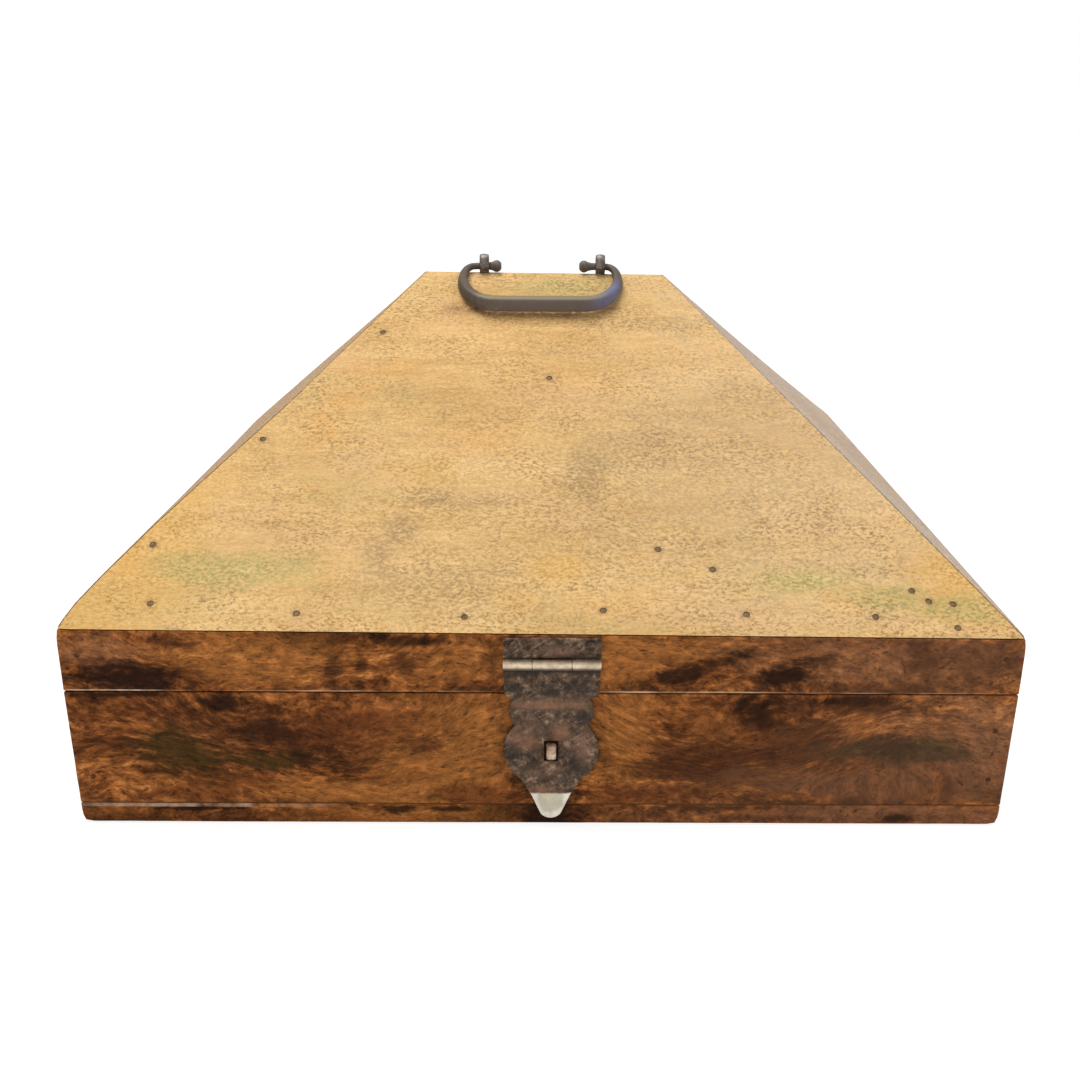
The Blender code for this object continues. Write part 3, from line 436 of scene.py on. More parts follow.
def between(stations, share):
    for (start, low), (end, high) in zip(stations, stations[1:]):
        if share <= end:
            return low + (high - low) * (share - start) / (end - start)
    return stations[-1][1]


def twisted(point):
    x, y, z = point / mm
    wide, deep = lidTwist["reach"]
    rise = sum(lift * (1 + right * x / wide) * (1 + back * y / deep) / 4
               for (right, back), lift in lidTwist["rise"].items())
    drawn = min(1, max(0, (z - lidTwist["seam"]) / (lidTwist["eave"] - lidTwist["seam"])))
    share = min(1, max(0, (z - lidTwist["eave"]) / (lidTwist["ridge"] - lidTwist["eave"])))
    hip = wide + (lidTwist["ridgeHalf"] - wide) * share, max(1, deep * (1 - share))
    shift = 0
    for (right, back), bow in lidTwist["bows"].items():
        near = [min(1, max(0, 0.5 + part / 2)) for part in (right * x / hip[0], back * y / hip[1])]
        shift += right * between(bow, share) * near[0] * near[1]
    return point + Vector((shift, 0, rise + (lidTwist["ridgeTilt"] * x - rise) * share)) * drawn * mm


def settled(point):                                    # a point of the box on its worn foot
    x, y, z = point / mm
    wide, radius = lidTwist["reach"][0], boxFoot["round"]
    over = Vector((abs(x) - wide + radius, radius - z))
    if min(over) > 0 and over.length > radius:
        over *= radius / over.length
        x, z = (over[0] + wide - radius) * (1 if x > 0 else -1), radius - over[1]
    return Vector((x - boxFoot["taper"] * (1 - z / lidTwist["seam"]) * x / wide, y, z)) * mm


def wornBack(point, level):                            # outer corners are knocked round
    wide, deep = lidTwist["reach"]
    corner = Vector((wide if point.x > 0 else -wide, deep if point.y > 0 else -deep, level)) * mm
    near = max(0, 1 - (point - corner).length / (wornCorners["reach"] * mm))
    inward = Vector((-corner.x, -corner.y, 0)).normalized()
    return point + inward * near ** 2 * wornCorners["depth"] * mm


def makePlank(name, corners, along, outward, wear, ridge=None, onLid=False):
    bpy.ops.object.select_all(action="DESELECT")
    bpy.ops.mesh.primitive_cube_add(size=2)
    plank = bpy.context.object
    plank.name = plank.data.name = name
    for vertex in plank.data.vertices:
        vertex.co = corners[tuple(int(part > 0) for part in vertex.co)]

    def shape():
        bpy.ops.mesh.select_all(action="SELECT")
        if ridge is not None:                          # the ridge is planed flat
            bpy.ops.mesh.bisect(plane_co=(0, 0, ridge), plane_no=(0, 0, 1), clear_outer=True, use_fill=True)
            bpy.ops.mesh.select_all(action="SELECT")
        bpy.ops.mesh.normals_make_consistent(inside=False)
        bpy.ops.mesh.bevel(offset=wear["arris"] * mm, segments=wear["rounds"], affect="EDGES")

    inEditMode(plank, shape)
    across = outward.cross(along)
    short = 2 * wear["arris"] * mm
    size = [max(c.dot(axis) for c in corners.values()) - min(c.dot(axis) for c in corners.values())
            for axis in (along, across, outward)]
    cuts = [int(length / (wear["pitch"] * mm)) for length in size]
    subdivideAlong(plank, lambda e: abs(e.normalized().dot(along)) > 0.99 and e.length > short, cuts[0])
    subdivideAlong(plank, lambda e: e.length > size[1] / 3 and abs(e.normalized().dot(along)) < 0.9, cuts[1])
    for vertex in plank.data.vertices:
        if onLid:
            vertex.co = twisted(wornBack(vertex.co, lidTwist["eave"]))
        else:
            vertex.co = settled(wornBack(vertex.co, 0))
    for kind in ("waves", "nicks"):
        modifier = plank.modifiers.new(kind, "DISPLACE")
        modifier.texture = wearTextures[kind]
        modifier.texture_coords = "LOCAL"
        modifier.strength = wear[kind][1] * mm
        modifier.mid_level = 1                         # only ever inwards
        bpy.ops.object.modifier_apply(modifier=kind)
    return plank


pockets = {                                            # mm, the dents round sunk nails
    "board": {"radius": 1.32, "depth": 0.8, "sides": 16},
    "panel": {"radius": 1.75, "depth": 0.7, "sides": 12},
}


def cutPockets(plank, places, outward, pocket):
    turn = outward.to_track_quat("Z", "Y").to_euler()
    cutters = []
    for place in places:
        bpy.ops.object.select_all(action="DESELECT")
        bpy.ops.mesh.primitive_cylinder_add(vertices=pocket["sides"], radius=pocket["radius"] * mm,
                                            depth=2 * pocket["depth"] * mm, location=place, rotation=turn)
        cutters.append(bpy.context.object)
    for cutter in cutters:
        dent = plank.modifiers.new("dent", "BOOLEAN")
        dent.object = cutter
        dent.solver = "MANIFOLD"
        bpy.ops.object.select_all(action="DESELECT")
        bpy.context.view_layer.objects.active = plank
        bpy.ops.object.modifier_apply(modifier="dent")
        bpy.data.objects.remove(cutter)


def smoothPlank(plank):
    bpy.ops.object.select_all(action="DESELECT")
    plank.select_set(True)
    bpy.context.view_layer.objects.active = plank
    bpy.ops.object.shade_smooth_by_angle(angle=radians(smoothAngles["plank"]))


def boxCorners(node):
    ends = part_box(node)
    return {(a, b, c): Vector((ends[a].x, ends[b].y, ends[c].z))
            for a in (0, 1) for b in (0, 1) for c in (0, 1)}


def finishPiece(piece, node, body, material):
    piece.data.materials.clear()
    piece.data.materials.append(material)
    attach(piece, body)
    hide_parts(node)


boards = {
    "base_board": {
        "along": "x", "outward": -axes["y"], "body": "box", "slot": "base_wood", "face": -212, "turn": 0,
        "shift": (3.1, 1.7, 0.4), "inward": (0, 0, 1),
        "blotsAndShadows": [(-215, 6, 26, 6, 0, "orange", 0.4), (-60, 5, 60, 7, 0, "gold", 0.85),
                  (60, 5, 60, 6, 0, "dusty", 0.4), (10, 5, 70, 8, 0, "dark", 0.6),
                  (170, 6, 90, 8, 0, "dusty", 0.75), (-73, 8, 16, 2.5, 0, "black", 0.9),
                  (-46, 8, 14, 2, 0, "black", 0.9), (177, 3.5, 13, 3, 0, "black", 0.95),
                  (75, 9, 50, 2, 0, "black", 0.45), (110, 3, 30, 2, 0, "dark", 0.5),
                  (-150, 4, 50, 4, 0, "dark", 0.6), (-170, 8.0, 30, 1.4, 0, "black", 0.95),
                  # the black oval at x 4.6 is painted shadow round the hasp's tip
                  (4.6, 7, 21, 12, 0, "black", 0.98)],
        "hazes": [(150, 5, 110, 12, 0.20)],
        "wornLines": [(8.8, 11.2, -172, 80, 0.80)],
    },
    "box_front_board": {
        "along": "x", "outward": -axes["y"], "body": "box", "slot": "box_wood", "face": -212, "turn": 0,
        "shift": (0.2, 0.5, 0.3), "inward": (0, 1, 0),
        "swirls": [(-105, 62, 95, 42, 24), (-180, 20, 70, 30, -9), (95, 66, 75, 42, 22),
                   (175, 40, 50, 26, -12)],
        "blotsAndShadows": [(-42, 42, 46, 42, 0, "gold", 0.65), (38, 44, 20, 44, 0, "gold", 0.60),
                  (-95, 18, 85, 7, 3, "gold", 0.7), (98, 36, 46, 40, 0, "dark", 0.75),
                  (-30, 16, 30, 7, 0, "red", 0.75), (45, 15, 38, 8, 0, "red", 0.8),
                  (-165, 18, 42, 9, -10, "red", 0.75), (-205, 52, 26, 16, 0, "red", 0.45),
                  (-90, 54, 55, 14, 0, "red", 0.65), (-150, 48, 60, 20, 0, "dark", 0.50),
                  (190, 45, 80, 40, 0, "dusty", 0.45), (77, 30, 40, 7, 6, "dark", 0.85),
                  (78, 38, 24, 13, 0, "dark", 0.60), (128, 44, 40, 20, 0, "dark", 0.80),
                  (60, 19, 40, 5, 0, "red", 0.5), (150, 66, 44, 6, 0, "dark", 0.85),
                  (85, 56, 30, 9, 20, "orange", 0.35), (156, 54, 7, 10, 12, "orange", 0.75),
                  (216, 46, 20, 30, 0, "dusty", 0.70), (150, 22, 70, 10, 4, "dusty", 0.40),
                  (-155, 67, 17, 6, 0, "black", 0.95), (-134, 52, 19, 8, 0, "black", 0.6),
                  (-58, 44, 14, 5, 0, "dark", 0.65), (-177, 40, 26, 15, 20, "green", 0.95),
                  (-132, 34, 26, 7, 0, "green", 0.90), (-118, 36, 7, 5, 0, "black", 0.7),
                  (104, 63, 13, 12, 20, "black", 0.90), (150, 69, 30, 3, 0, "black", 0.8),
                  (178, 42, 44, 8, 0, "moss", 1.0), (196, 40, 14, 5, 0, "moss", 0.9),
                  # (-206, 71.2) is a painted shadow line under the lid's edge; the two black ovals at x 4.6
                  # are painted shadow round the hasp
                  (171, 43, 14, 8, 0, "black", 0.5), (-206, 71.2, 28, 1.6, 0, "black", 0.9),
                  (4.6, 43, 27, 21, 0, "black", 0.85), (4.6, 20, 20, 16, 0, "black", 0.95)],
        "hazes": [(185, 30, 80, 42, 0.32), (110, 18, 70, 14, 0.22)],
    },
    "box_back_board": {
        "along": "x", "outward": axes["y"], "body": "box", "slot": "box_wood", "face": 212, "turn": 0,
        "shift": (1.3, 2.2, 0.9), "inward": (0, -1, 0), "swirls": [(60, 50, 90, 40, 20),
                                                                   (-140, 30, 60, 30, -14)],
        "blotsAndShadows": [(-120, 40, 60, 16, 5, "dark", 0.7), (40, 55, 50, 12, -4, "red", 0.6),
                  (160, 30, 40, 12, 0, "gold", 0.4), (-40, 20, 26, 7, 0, "black", 0.8)],
    },
    "box_left_board": {
        "along": "y", "outward": -axes["x"], "body": "box", "slot": "box_wood", "face": 0, "turn": 90,
        "shift": (2.3, 0.7, 1.9), "inward": (1, 0, 0),
    },
    "box_right_board": {
        "along": "y", "outward": axes["x"], "body": "box", "slot": "box_wood", "face": 0, "turn": 90,
        "shift": (4.4, 1.2, 2.6), "inward": (-1, 0, 0),
    },
    "lid_front_rail": {
        "along": "x", "outward": -axes["y"], "body": "lid", "slot": "rail_wood", "face": -212, "turn": 0,
        "shift": (5.2, 0.9, 3.3), "inward": (0, 1, 0), "swirls": [(-140, 100, 80, 22, 12),
                                                                  (70, 80, 60, 22, -10)],
        "blotsAndShadows": [(-210, 94, 30, 9, 0, "dusty", 0.55), (-135, 90, 50, 14, 0, "gold", 0.60),
                  (-38, 90, 34, 13, 0, "gold", 0.45), (36, 90, 30, 18, 0, "gold", 0.60),
                  (80, 96, 50, 9, 0, "gold", 0.45), (165, 90, 90, 18, 0, "dusty", 0.65),
                  (-198, 81, 32, 9, 0, "black", 0.98), (-180, 99, 18, 4, 8, "dark", 0.85),
                  (-100, 84, 6, 13, 0, "black", 0.75), (-86, 87, 4, 6, 0, "black", 0.7),
                  (-67, 89, 9, 7, 0, "dark", 0.7), (-64, 100, 24, 4, 0, "black", 0.85),
                  (-25, 88, 6, 14, 0, "dark", 0.5), (72, 85, 38, 5, -18, "black", 0.90),
                  (117, 82, 19, 9, -12, "black", 0.98), (130, 91, 16, 4, 0, "black", 0.7),
                  (182, 90, 10, 14, 0, "dark", 0.75), (213, 88, 26, 11, 0, "dark", 0.55),
                  (160, 76, 50, 4, 0, "dark", 0.7)],
        "hazes": [(195, 88, 70, 24, 0.30)],
        "wornLines": [(72.4, 73.7, -205, 45, 0.9), (72.4, 73.6, -85, 75, 0.85), (72.4, 73.7, 70, 60, 0.9),
                      (72.4, 73.4, 160, 70, 0.5)],
    },
    "lid_back_rail": {
        "along": "x", "outward": axes["y"], "body": "lid", "slot": "rail_wood", "face": 212, "turn": 0,
        "shift": (6.1, 3.2, 1.3), "inward": (0, -1, 0), "swirls": [(-60, 95, 80, 22, 10)],
        "blotsAndShadows": [(100, 86, 50, 8, 3, "dark", 0.7), (-150, 90, 40, 12, 0, "gold", 0.4)],
        "wornLines": [(72.4, 73.7, 20, 300, 0.7)],
    },
    "lid_left_rail": {
        "along": "y", "outward": -axes["x"], "body": "lid", "slot": "rail_wood", "face": 0, "turn": 90,
        "shift": (1.1, 4.2, 2.3), "inward": (1, 0, 0),
    },
    "lid_right_rail": {
        "along": "y", "outward": axes["x"], "body": "lid", "slot": "rail_wood", "face": 0, "turn": 90,
        "shift": (2.9, 5.2, 0.7), "inward": (-1, 0, 0),
    },
}
cornerNails = {}                                       # each front or back board and the nails sunk in it
for prefix, board in (("box_nail", "box_{}_board"), ("lid_nail", "lid_{}_rail")):
    for face in ("front", "back"):
        cornerNails[board.format(face)] = [node for node in nodes if node.startswith(f"{prefix}_{face}")]


def nailFace(node, outward):                           # middle of a nail's head
    low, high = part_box(node)
    middle = (low + high) / 2
    return Vector((middle.x, high.y if outward.y > 0 else low.y, middle.z))


for node, look in boards.items():
    plank = makePlank(node + "_aged", boxCorners(node), axes[look["along"]], look["outward"], plankWear,
                      onLid=look["body"] == "lid")
    nails = [nailFace(nail, look["outward"]) for nail in cornerNails.get(node, [])]
    cutPockets(plank, nails, look["outward"], pockets["board"])
    smoothPlank(plank)
    finishPiece(plank, node, look["body"], boardWood(node + "_wood", look))
print("boards:", len(boards))


# roof panels

panels = {                                             # nails: along the eave and up the slope, mm
    "roof_front_panel": {
        "along": "x", "turn": 0, "shift": (0.4, 0.8, 0.2), "poreDepth": 0.90,
        "nails": [(-184.5, 15), (-115.5, 10), (-36, 9), (30.5, 13.5), (98.5, 12), (160, 11.3), (-188.7, 50),
                  (-146.9, 120), (-92.1, 201), (3.6, 166.5), (59, 50), (85, 38), (187, 20.5), (180, 26.5),
                  (198.5, 19), (198, 5.5)],
        "stainsAndPaintedLight": [((140, -110, 170), 130, 150, "chalk", 0.45), ((-205, -150, 145), 46, 120, "ochre", 0.55),
                   ((212, -185, 121), 34, 34, "ochre", 0.65), ((-20, -60, 205), 80, 60, "rust", 0.20),
                   ((20, -145, 149), 150, 100, "grey", 0.24), ((21, -131, 157), 13, 22, "grey", 0.80),
                   ((27, -122, 163), 10, 9, "grey", 0.60), ((-58, -143, 149), 13, 8, "grey", 0.75),
                   ((-71, -160, 138), 10, 12, "grey", 0.75), ((-81, -175, 128), 14, 12, "grey", 0.65),
                   ((-58, -189, 118), 55, 16, "grey", 0.40), ((-33, -145, 148), 24, 6, "umber", 0.35),
                   ((54, -117, 166), 28, 16, "grey", 0.35), ((105, -88, 185), 34, 24, "grey", 0.30),
                   ((63, -37, 220), 42, 9, "grey", 0.45), ((-67, -130, 157), 28, 13, "ochre", 0.35),
                   # the three shade entries are painted shadow under the handle's grip
                   ((9, -180, 124), 17, 12, "ochre", 0.55), ((-6, -27.0, 226.0), 46, 6.5, "shade", 0.95),
                   ((-36, -25.5, 227.0), 20, 7.0, "shade", 0.70),
                   ((0, -26.6, 226.2), 44, 4.0, "shade", 0.95), ((100, -130, 158), 90, 60, "grey", 0.18),
                   ((-150, -181, 123), 46, 13, "green", 0.85), ((128, -186, 120), 34, 9, "green", 0.80),
                   ((165, -193, 116), 30, 9, "green", 0.90), ((203, -198, 112), 24, 10, "green", 0.90),
                   ((12, -12, 237), 38, 10, "green", 0.80)]},
    "roof_back_panel": {
        "along": "x", "turn": 0, "shift": (2.4, 1.8, 1.2), "poreDepth": 0.90,
        "nails": [(-186, 14), (-112, 12), (-40, 15), (34, 11), (108, 14), (180, 12), (-150, 118),
                  (-98, 200), (146, 124), (96, 204)],
        "stainsAndPaintedLight": [((-200, 150, 145), 46, 120, "ochre", 0.5), ((200, 150, 145), 46, 120, "ochre", 0.5),
                   ((40, 120, 165), 60, 40, "grey", 0.4), ((-110, 180, 124), 45, 13, "green", 0.6)]},
    "roof_left_panel": {
        "along": "y", "turn": 90, "shift": (3.4, 0.3, 2.2), "poreDepth": 0.65,
        "nails": [(-160, 14), (-80, 12), (0, 15), (84, 11), (158, 14), (-88, 110), (87, 112)],
        # the whole left panel is painted a darker grey-brown all over
        "stainsAndPaintedLight": [((-150, 0, 173), 400, 400, "umber", 0.95), ((-190, 0, 138), 60, 90, "umber", 0.4),
                   ((-150, 0, 173), 400, 400, "soot", 0.40)]},
    "roof_right_panel": {
        "along": "y", "turn": 90, "shift": (1.4, 3.8, 0.9), "poreDepth": 0.65,
        "nails": [(-162, 12), (-78, 14), (4, 12), (82, 15), (160, 12), (-88, 112), (90, 108)],
        # the slate tint over the whole right panel is a painted reflection of the bright surroundings at a
        # grazing angle
        "stainsAndPaintedLight": [((150, 0, 173), 400, 400, "slate", 0.75), ((190, 0, 138), 60, 90, "umber", 0.4)]},
}


def panelFaces(node, along):
    mesh = nodes[node].data
    widest = max((face for face in mesh.polygons if face.normal.z > 0.1), key=lambda face: face.area)
    outward = widest.normal.copy()
    upward = (axes["z"] - outward * outward.z).normalized()
    points = [vertex.co.copy() for vertex in mesh.vertices]
    depths = [point.dot(outward) for point in points]
    faces = []
    for limit in (min(depths), max(depths)):
        flat = [p for p, depth in zip(points, depths) if abs(depth - limit) < tolerance["flat"] * mm]
        heights = [p.dot(upward) for p in flat]
        rows = []
        for height in (min(heights), max(heights)):
            row = [p for p in flat if abs(p.dot(upward) - height) < tolerance["level"] * mm]
            rows.append((min(row, key=lambda p: p.dot(along)), max(row, key=lambda p: p.dot(along))))
        faces.append(rows)
    return outward, upward, faces                      # faces[inner, outer][low, high][start, end]


panelWear = {**plankWear, "arris": 0.4, "waves": (60, 0.10), "nicks": (7, 0.08)}    # mm
nailHalo = {"wide": 3.6, "high": 3.4, "tint": "soot", "strength": 0.40}            # mm, round a nail


def addPanel(node, look):
    along = axes[look["along"]]
    outward, upward, faces = panelFaces(node, along)
    corners = {}
    for depth in (0, 1):
        for level in (0, 1):
            for end in (0, 1):
                grow = (along * (2 * end - 1) + upward * (2 * level - 1)) * panelWear["arris"] * mm * depth
                corners[end, level, depth] = faces[depth][level][end] + grow
    ridge = None
    if look["along"] == "x":                           # front and back meet under the planed ridge
        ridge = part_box(node)[1].z
        for end in (0, 1):
            low, high = corners[end, 0, 1], corners[end, 1, 1]
            meet = corners[end, 1, 0].y
            corners[end, 1, 1] = low.lerp(high, (meet - low.y) / (high.y - low.y))
    eave = faces[1][0][0] - along * faces[1][0][0].dot(along)
    places = [twisted(eave + (along * x + upward * rise) * mm) for x, rise in look["nails"]]
    plank = makePlank(node + "_aged", corners, along, outward, panelWear, ridge, True)
    cutPockets(plank, places, outward, pockets["panel"])
    smoothPlank(plank)
    stainsAndPaintedLight = look["stainsAndPaintedLight"] + [(place / mm, *nailHalo.values()) for place in places]
    finishPiece(plank, node, "lid", roofWood(node + "_wood", {**look, "stainsAndPaintedLight": stainsAndPaintedLight}))
    return places, outward


roofNails = {node: addPanel(node, look) for node, look in panels.items()}
print("roof panels:", len(panels))


# metal pieces, copied from the frame and given worn, rounded edges

metalPieces = {
    "hasp_plate": {"edge": 0.30, "body": "lid", "slot": "hasp_bronze", "finish": "hasp"},
    "hasp_leaf": {"edge": 0.35, "body": "hasp", "slot": "hasp_bronze", "finish": "hasp",
                  "filed": {"middle": 4.6, "top": 15.0, "end": 3.8, "share": 0.34, "short": 0.6,       # mm
                            "curve": 1.5}},
    "hasp_staple": {"smooth": 1, "body": "box", "slot": "worn_brass", "finish": "staple"},
    "handle_bail": {"smooth": 1, "body": "handle", "slot": "bail_iron", "finish": "bail"},
    "handle_eye_left": {"smooth": 1, "body": "lid", "slot": "eye_iron", "finish": "eye"},
    "handle_eye_right": {"smooth": 1, "body": "lid", "slot": "eye_iron", "finish": "eye"},
}
for side in ("left", "right"):
    metalPieces[f"hasp_nail_{side}"] = {"smooth": 1, "body": "lid", "slot": "nail_iron", "finish": "hasp"}
    for leaf, body in (("upper", "lid"), ("lower", "box")):
        hinge = f"hinge_{side}_{leaf}"
        metalPieces[hinge + "_leaf"] = {"edge": 0.3, "body": body, "slot": "hasp_bronze", "finish": "hinge"}
        for hand in ("left", "right"):
            metalPieces[f"{hinge}_nail_{hand}"] = {"smooth": 1, "body": body, "slot": "nail_iron",
                                                   "finish": "hinge"}
for board, nails in cornerNails.items():
    for node in nails:
        metalPieces[node] = {"edge": 0.15, "body": boards[board]["body"], "slot": "nail_iron",
                             "finish": "sunkNail", "sink": boards[board]["outward"] * -0.25}      # mm

dullNail = {"metallic": 0.0, "gloss": 0.06, "mottle": 500, "pitting": 1500}
ironLooks = {
    "bail": {"dark": (0.082, 0.068, 0.058), "body": (0.136, 0.114, 0.099), "bright": (0.204, 0.174, 0.151),
             "metallic": 0.1, "gloss": 0.12, "mottle": 190, "pitting": 1100,
             "rubbedAndLitFace": ((0, -0.46, 0.89), (0.225, 0.185, 0.098), 0.7, (0, -34, 231), (43, 15, 15)),
             # painted sheen on the grip's face, painted shade on both arms, and a painted blue reflection at
             # the right bend
             "sheens": [((0, -36, 229), 36, (0.158, 0.132, 0.118), 0.8),
                        ((-41, -16, 240), 20, (0.080, 0.062, 0.044), 0.85),
                        ((42, -12, 242), 15, (0.080, 0.062, 0.044), 0.8),
                        ((38, -27, 235), 15, (0.145, 0.155, 0.255), 0.75)]},
    "eye": {"dark": (0.060, 0.045, 0.040), "body": (0.165, 0.135, 0.122), "bright": (0.330, 0.290, 0.270),
            "metallic": 0.7, "mottle": 330, "pitting": 1200},
    "staple": {"dark": (0.230, 0.145, 0.092), "body": (0.470, 0.330, 0.228), "bright": (0.720, 0.545, 0.400),
               "metallic": 0.7, "mottle": 160, "pitting": 900},
    "sunkNail": {"dark": (0.040, 0.016, 0.007), "body": (0.100, 0.040, 0.017),
                 "bright": (0.175, 0.074, 0.031), **dullNail},
    "roofNail": {"dark": (0.080, 0.050, 0.027), "body": (0.185, 0.118, 0.063),
                 "bright": (0.285, 0.188, 0.106), **dullNail},
}
metalFinishes = {name: forgedIron(name + "_iron", look) for name, look in ironLooks.items()}
metalFinishes["hasp"] = haspMetal("hasp_bronze", haspPatinaAndLight)
metalFinishes["hinge"] = haspMetal("hinge_bronze", hingePatinaAndLight)


def wornCopy(node, look):
    piece = bpy.data.objects.new(node + "_worn", nodes[node].data.copy())
    bpy.context.scene.collection.objects.link(piece)

    def weld():
        bpy.ops.mesh.select_all(action="SELECT")
        bpy.ops.mesh.remove_doubles(threshold=tolerance["weld"] * mm)
        if "edge" in look:
            bpy.ops.mesh.dissolve_limited(angle_limit=radians(0.5))
        else:
            bpy.ops.mesh.tris_convert_to_quads(face_threshold=radians(40), shape_threshold=radians(60))

    inEditMode(piece, weld)
    if "edge" in look:
        rounding = piece.modifiers.new("rounding", "BEVEL")
        rounding.width = look["edge"] * mm
        rounding.segments = 3
        rounding.angle_limit = radians(50)
    else:
        rounding = piece.modifiers.new("rounding", "SUBSURF")
        rounding.levels = rounding.render_levels = look["smooth"]
    bpy.ops.object.modifier_apply(modifier="rounding")
    angle = smoothAngles["edge" if "edge" in look else "round"]
    bpy.ops.object.shade_smooth_by_angle(angle=radians(angle))
    if "sink" in look:                                 # driven a little below the face of the board
        piece.data.transform(Matrix.Translation(look["sink"] * mm))
    if "filed" in look:
        fileTip(piece, look["filed"])
    return piece


def fileTip(piece, tip):                               # narrower towards its end
    for vertex in piece.data.vertices:
        share = (tip["top"] - vertex.co.z / mm) / (tip["top"] - tip["end"])
        if share > 0:
            middle = tip["middle"] * mm
            vertex.co.x = middle + (vertex.co.x - middle) * (1 - tip["share"] * share ** tip["curve"])
            vertex.co.z += tip["short"] * share * mm


for node, look in metalPieces.items():
    finishPiece(wornCopy(node, look), node, look["body"], metalFinishes[look["finish"]])
print("metal pieces:", len(metalPieces))

# small nails of the roof: one is modelled, the rest are copies of it

smallNail = {                                          # mm
    "head": 1.70, "height": 0.8, "rounding": 0.35, "shank": 0.55, "length": 5.4, "sunk": 0.35, "sides": 12,
}


def modelNail(look):
    under = look["sunk"] + look["height"]
    bpy.ops.object.select_all(action="DESELECT")
    bpy.ops.mesh.primitive_cylinder_add(vertices=look["sides"], radius=look["head"] * mm,
                                        depth=look["height"] * mm,
                                        location=(0, 0, -(look["sunk"] + look["height"] / 2) * mm))
    head = bpy.context.object
    rounding = head.modifiers.new("rounding", "BEVEL")
    rounding.width = look["rounding"] * mm
    rounding.segments = 2
    bpy.ops.object.modifier_apply(modifier="rounding")
    bpy.ops.mesh.primitive_cone_add(vertices=look["sides"], radius1=0, radius2=look["shank"] * mm,
                                    depth=look["length"] * mm,
                                    location=(0, 0, -(under + look["length"] / 2) * mm))
    head.select_set(True)
    bpy.context.view_layer.objects.active = head
    bpy.ops.object.join()
    bpy.ops.object.transform_apply()
    bpy.ops.object.shade_smooth_by_angle(angle=radians(smoothAngles["nail"]))
    return head


firstNail = modelNail(smallNail)
for panel, (places, outward) in roofNails.items():
    copies = []
    for place in places:
        nail = bpy.data.objects.new(panel, firstNail.data.copy())
        bpy.context.scene.collection.objects.link(nail)
        nail.matrix_world = Matrix.Translation(place) @ outward.to_track_quat("Z", "Y").to_matrix().to_4x4()
        copies.append(nail)
    bpy.ops.object.select_all(action="DESELECT")
    for nail in copies:
        nail.select_set(True)
    bpy.context.view_layer.objects.active = copies[0]
    bpy.ops.object.join()
    bpy.ops.object.transform_apply()
    nails = bpy.context.object
    nails.name = panel.replace("panel", "nails")
    nails.data.materials.clear()
    nails.data.materials.append(metalFinishes["roofNail"])
    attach(nails, "lid")
bpy.data.objects.remove(firstNail)
print("roof nails:", sum(len(places) for places, outward in roofNails.values()))

# what stays as the frame has it: the hinge pins and the batten
pinBrass = metalFinishes["staple"]
for piece in nodes.values():
    if not piece.hide_render:
        piece.data.materials.clear()
        piece.data.materials.append(pinBrass)
battenLook = {**boards["box_back_board"], "shift": (7.1, 2.2, 0.4), "inward": (0, 0, -1)}
nodes["ridge_batten"].data.materials[0] = boardWood("ridge_batten_wood", battenLook)
print("frame pieces kept:", sum(not piece.hide_render for piece in nodes.values()))


# floor, world and lamps

studio = {
    "floorSize": 8, "floorDrop": 0.3,                  # metres, and mm below the base
    "floorGlow": 0.82, "floorPaint": 0.34, "floorLit": 0.8,
    "skyStrength": 0.58, "aim": (0, 0, 0.1),
    "key": {"place": (-0.4, 0.15, 2.1), "size": 1.1, "power": 34, "colour": (1.0, 0.97, 0.92)},
    "side": {"place": (1.8, -0.1, 0.9), "size": 1.2, "power": 8, "colour": (0.86, 0.90, 1.0)},
}


def seenBackdrop(tree):                                # camera, glossy and see-through rays meet white
    path = tree.nodes.new("ShaderNodeLightPath")
    seen = path.outputs["Is Camera Ray"]
    for ray in ("Is Glossy Ray", "Is Transmission Ray"):
        either = tree.nodes.new("ShaderNodeMath")
        either.operation = "MAXIMUM"
        tree.links.new(seen, either.inputs[0])
        tree.links.new(path.outputs[ray], either.inputs[1])
        seen = either.outputs[0]
    return seen


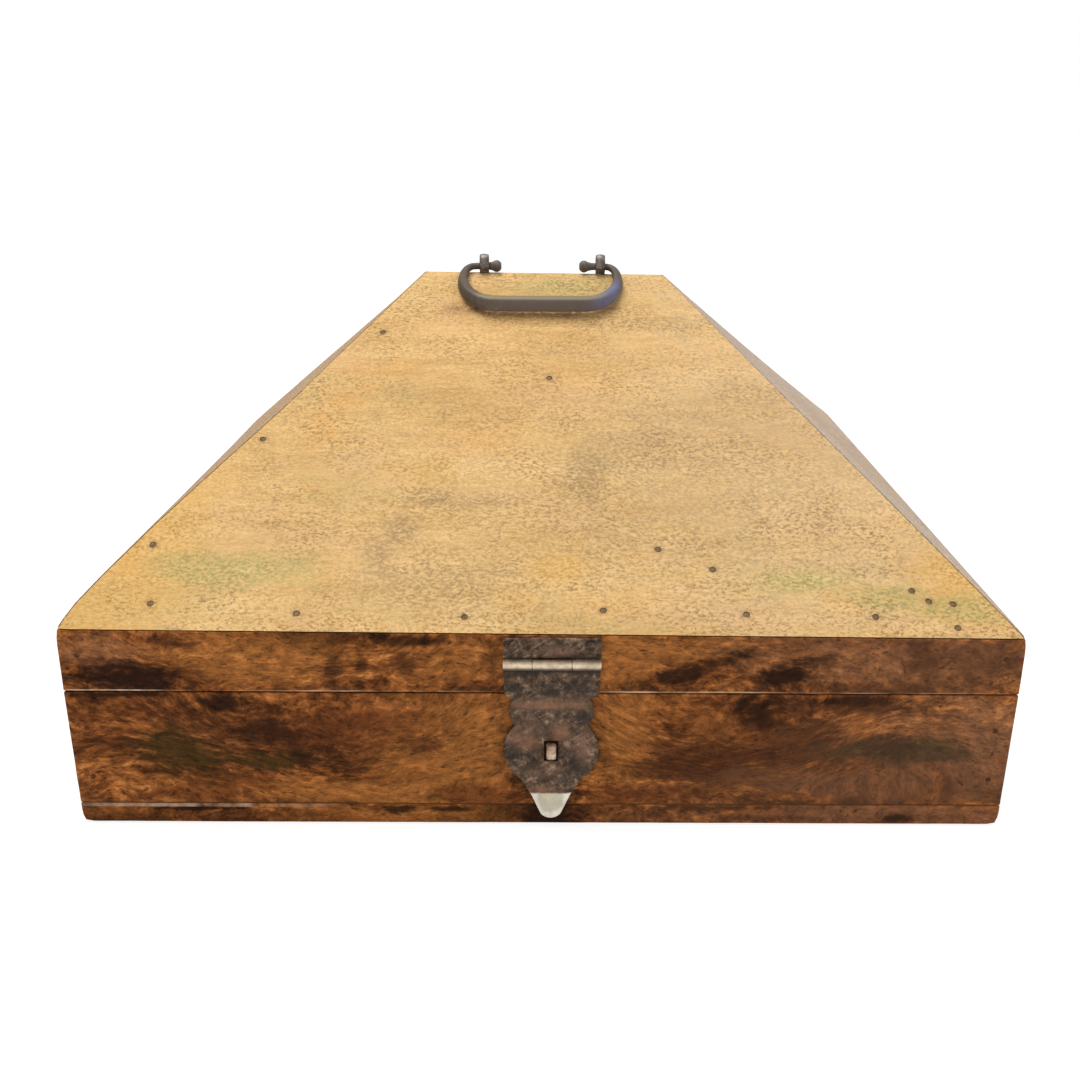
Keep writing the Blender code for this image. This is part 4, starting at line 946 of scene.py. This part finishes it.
def addFloor(look):
    bpy.ops.object.select_all(action="DESELECT")
    bpy.ops.mesh.primitive_plane_add(size=look["floorSize"], location=(0, 0, -look["floorDrop"] * mm))
    floor = bpy.context.object
    floor.name = "studio_floor"
    material = bpy.data.materials.new("pale_floor")
    material.use_nodes = True
    tree = material.node_tree
    tree.nodes.remove(tree.nodes["Principled BSDF"])
    plain = tree.nodes.new("ShaderNodeBsdfDiffuse")
    plain.inputs["Color"].default_value = (*[look["floorLit"]] * 3, 1)
    paint = tree.nodes.new("ShaderNodeBsdfDiffuse")
    paint.inputs["Color"].default_value = (*[look["floorPaint"]] * 3, 1)
    glow = tree.nodes.new("ShaderNodeEmission")
    glow.inputs["Strength"].default_value = look["floorGlow"]
    both = tree.nodes.new("ShaderNodeAddShader")
    tree.links.new(paint.outputs[0], both.inputs[0])
    tree.links.new(glow.outputs[0], both.inputs[1])
    pick = tree.nodes.new("ShaderNodeMixShader")
    tree.links.new(seenBackdrop(tree), pick.inputs[0])
    tree.links.new(plain.outputs[0], pick.inputs[1])
    tree.links.new(both.outputs[0], pick.inputs[2])
    tree.links.new(pick.outputs[0], tree.nodes["Material Output"].inputs["Surface"])
    floor.data.materials.append(material)


def addWorld(look):
    world = bpy.data.worlds.new("studio")
    bpy.context.scene.world = world
    world.use_nodes = True
    tree = world.node_tree
    light = tree.nodes["Background"]
    light.inputs["Strength"].default_value = look["skyStrength"]
    light.inputs["Color"].default_value = (1, 1, 1, 1)
    backdrop = tree.nodes.new("ShaderNodeBackground")
    backdrop.inputs["Color"].default_value = (1, 1, 1, 1)
    pick = tree.nodes.new("ShaderNodeMixShader")
    tree.links.new(seenBackdrop(tree), pick.inputs[0])
    tree.links.new(light.outputs[0], pick.inputs[1])
    tree.links.new(backdrop.outputs[0], pick.inputs[2])
    tree.links.new(pick.outputs[0], tree.nodes["World Output"].inputs["Surface"])


def addLamp(name, look):
    aim = Vector(studio["aim"]) - Vector(look["place"])
    turn = aim.to_track_quat("-Z", "Y").to_euler()
    bpy.ops.object.light_add(type="AREA", location=look["place"], rotation=turn)
    lamp = bpy.context.object
    lamp.name = name
    lamp.data.size = look["size"]
    lamp.data.energy = look["power"]
    lamp.data.color = look["colour"]


addFloor(studio)
addWorld(studio)
addLamp("key_lamp", studio["key"])
addLamp("side_lamp", studio["side"])
bpy.context.scene.view_settings.view_transform = "Standard"
print("studio lit")
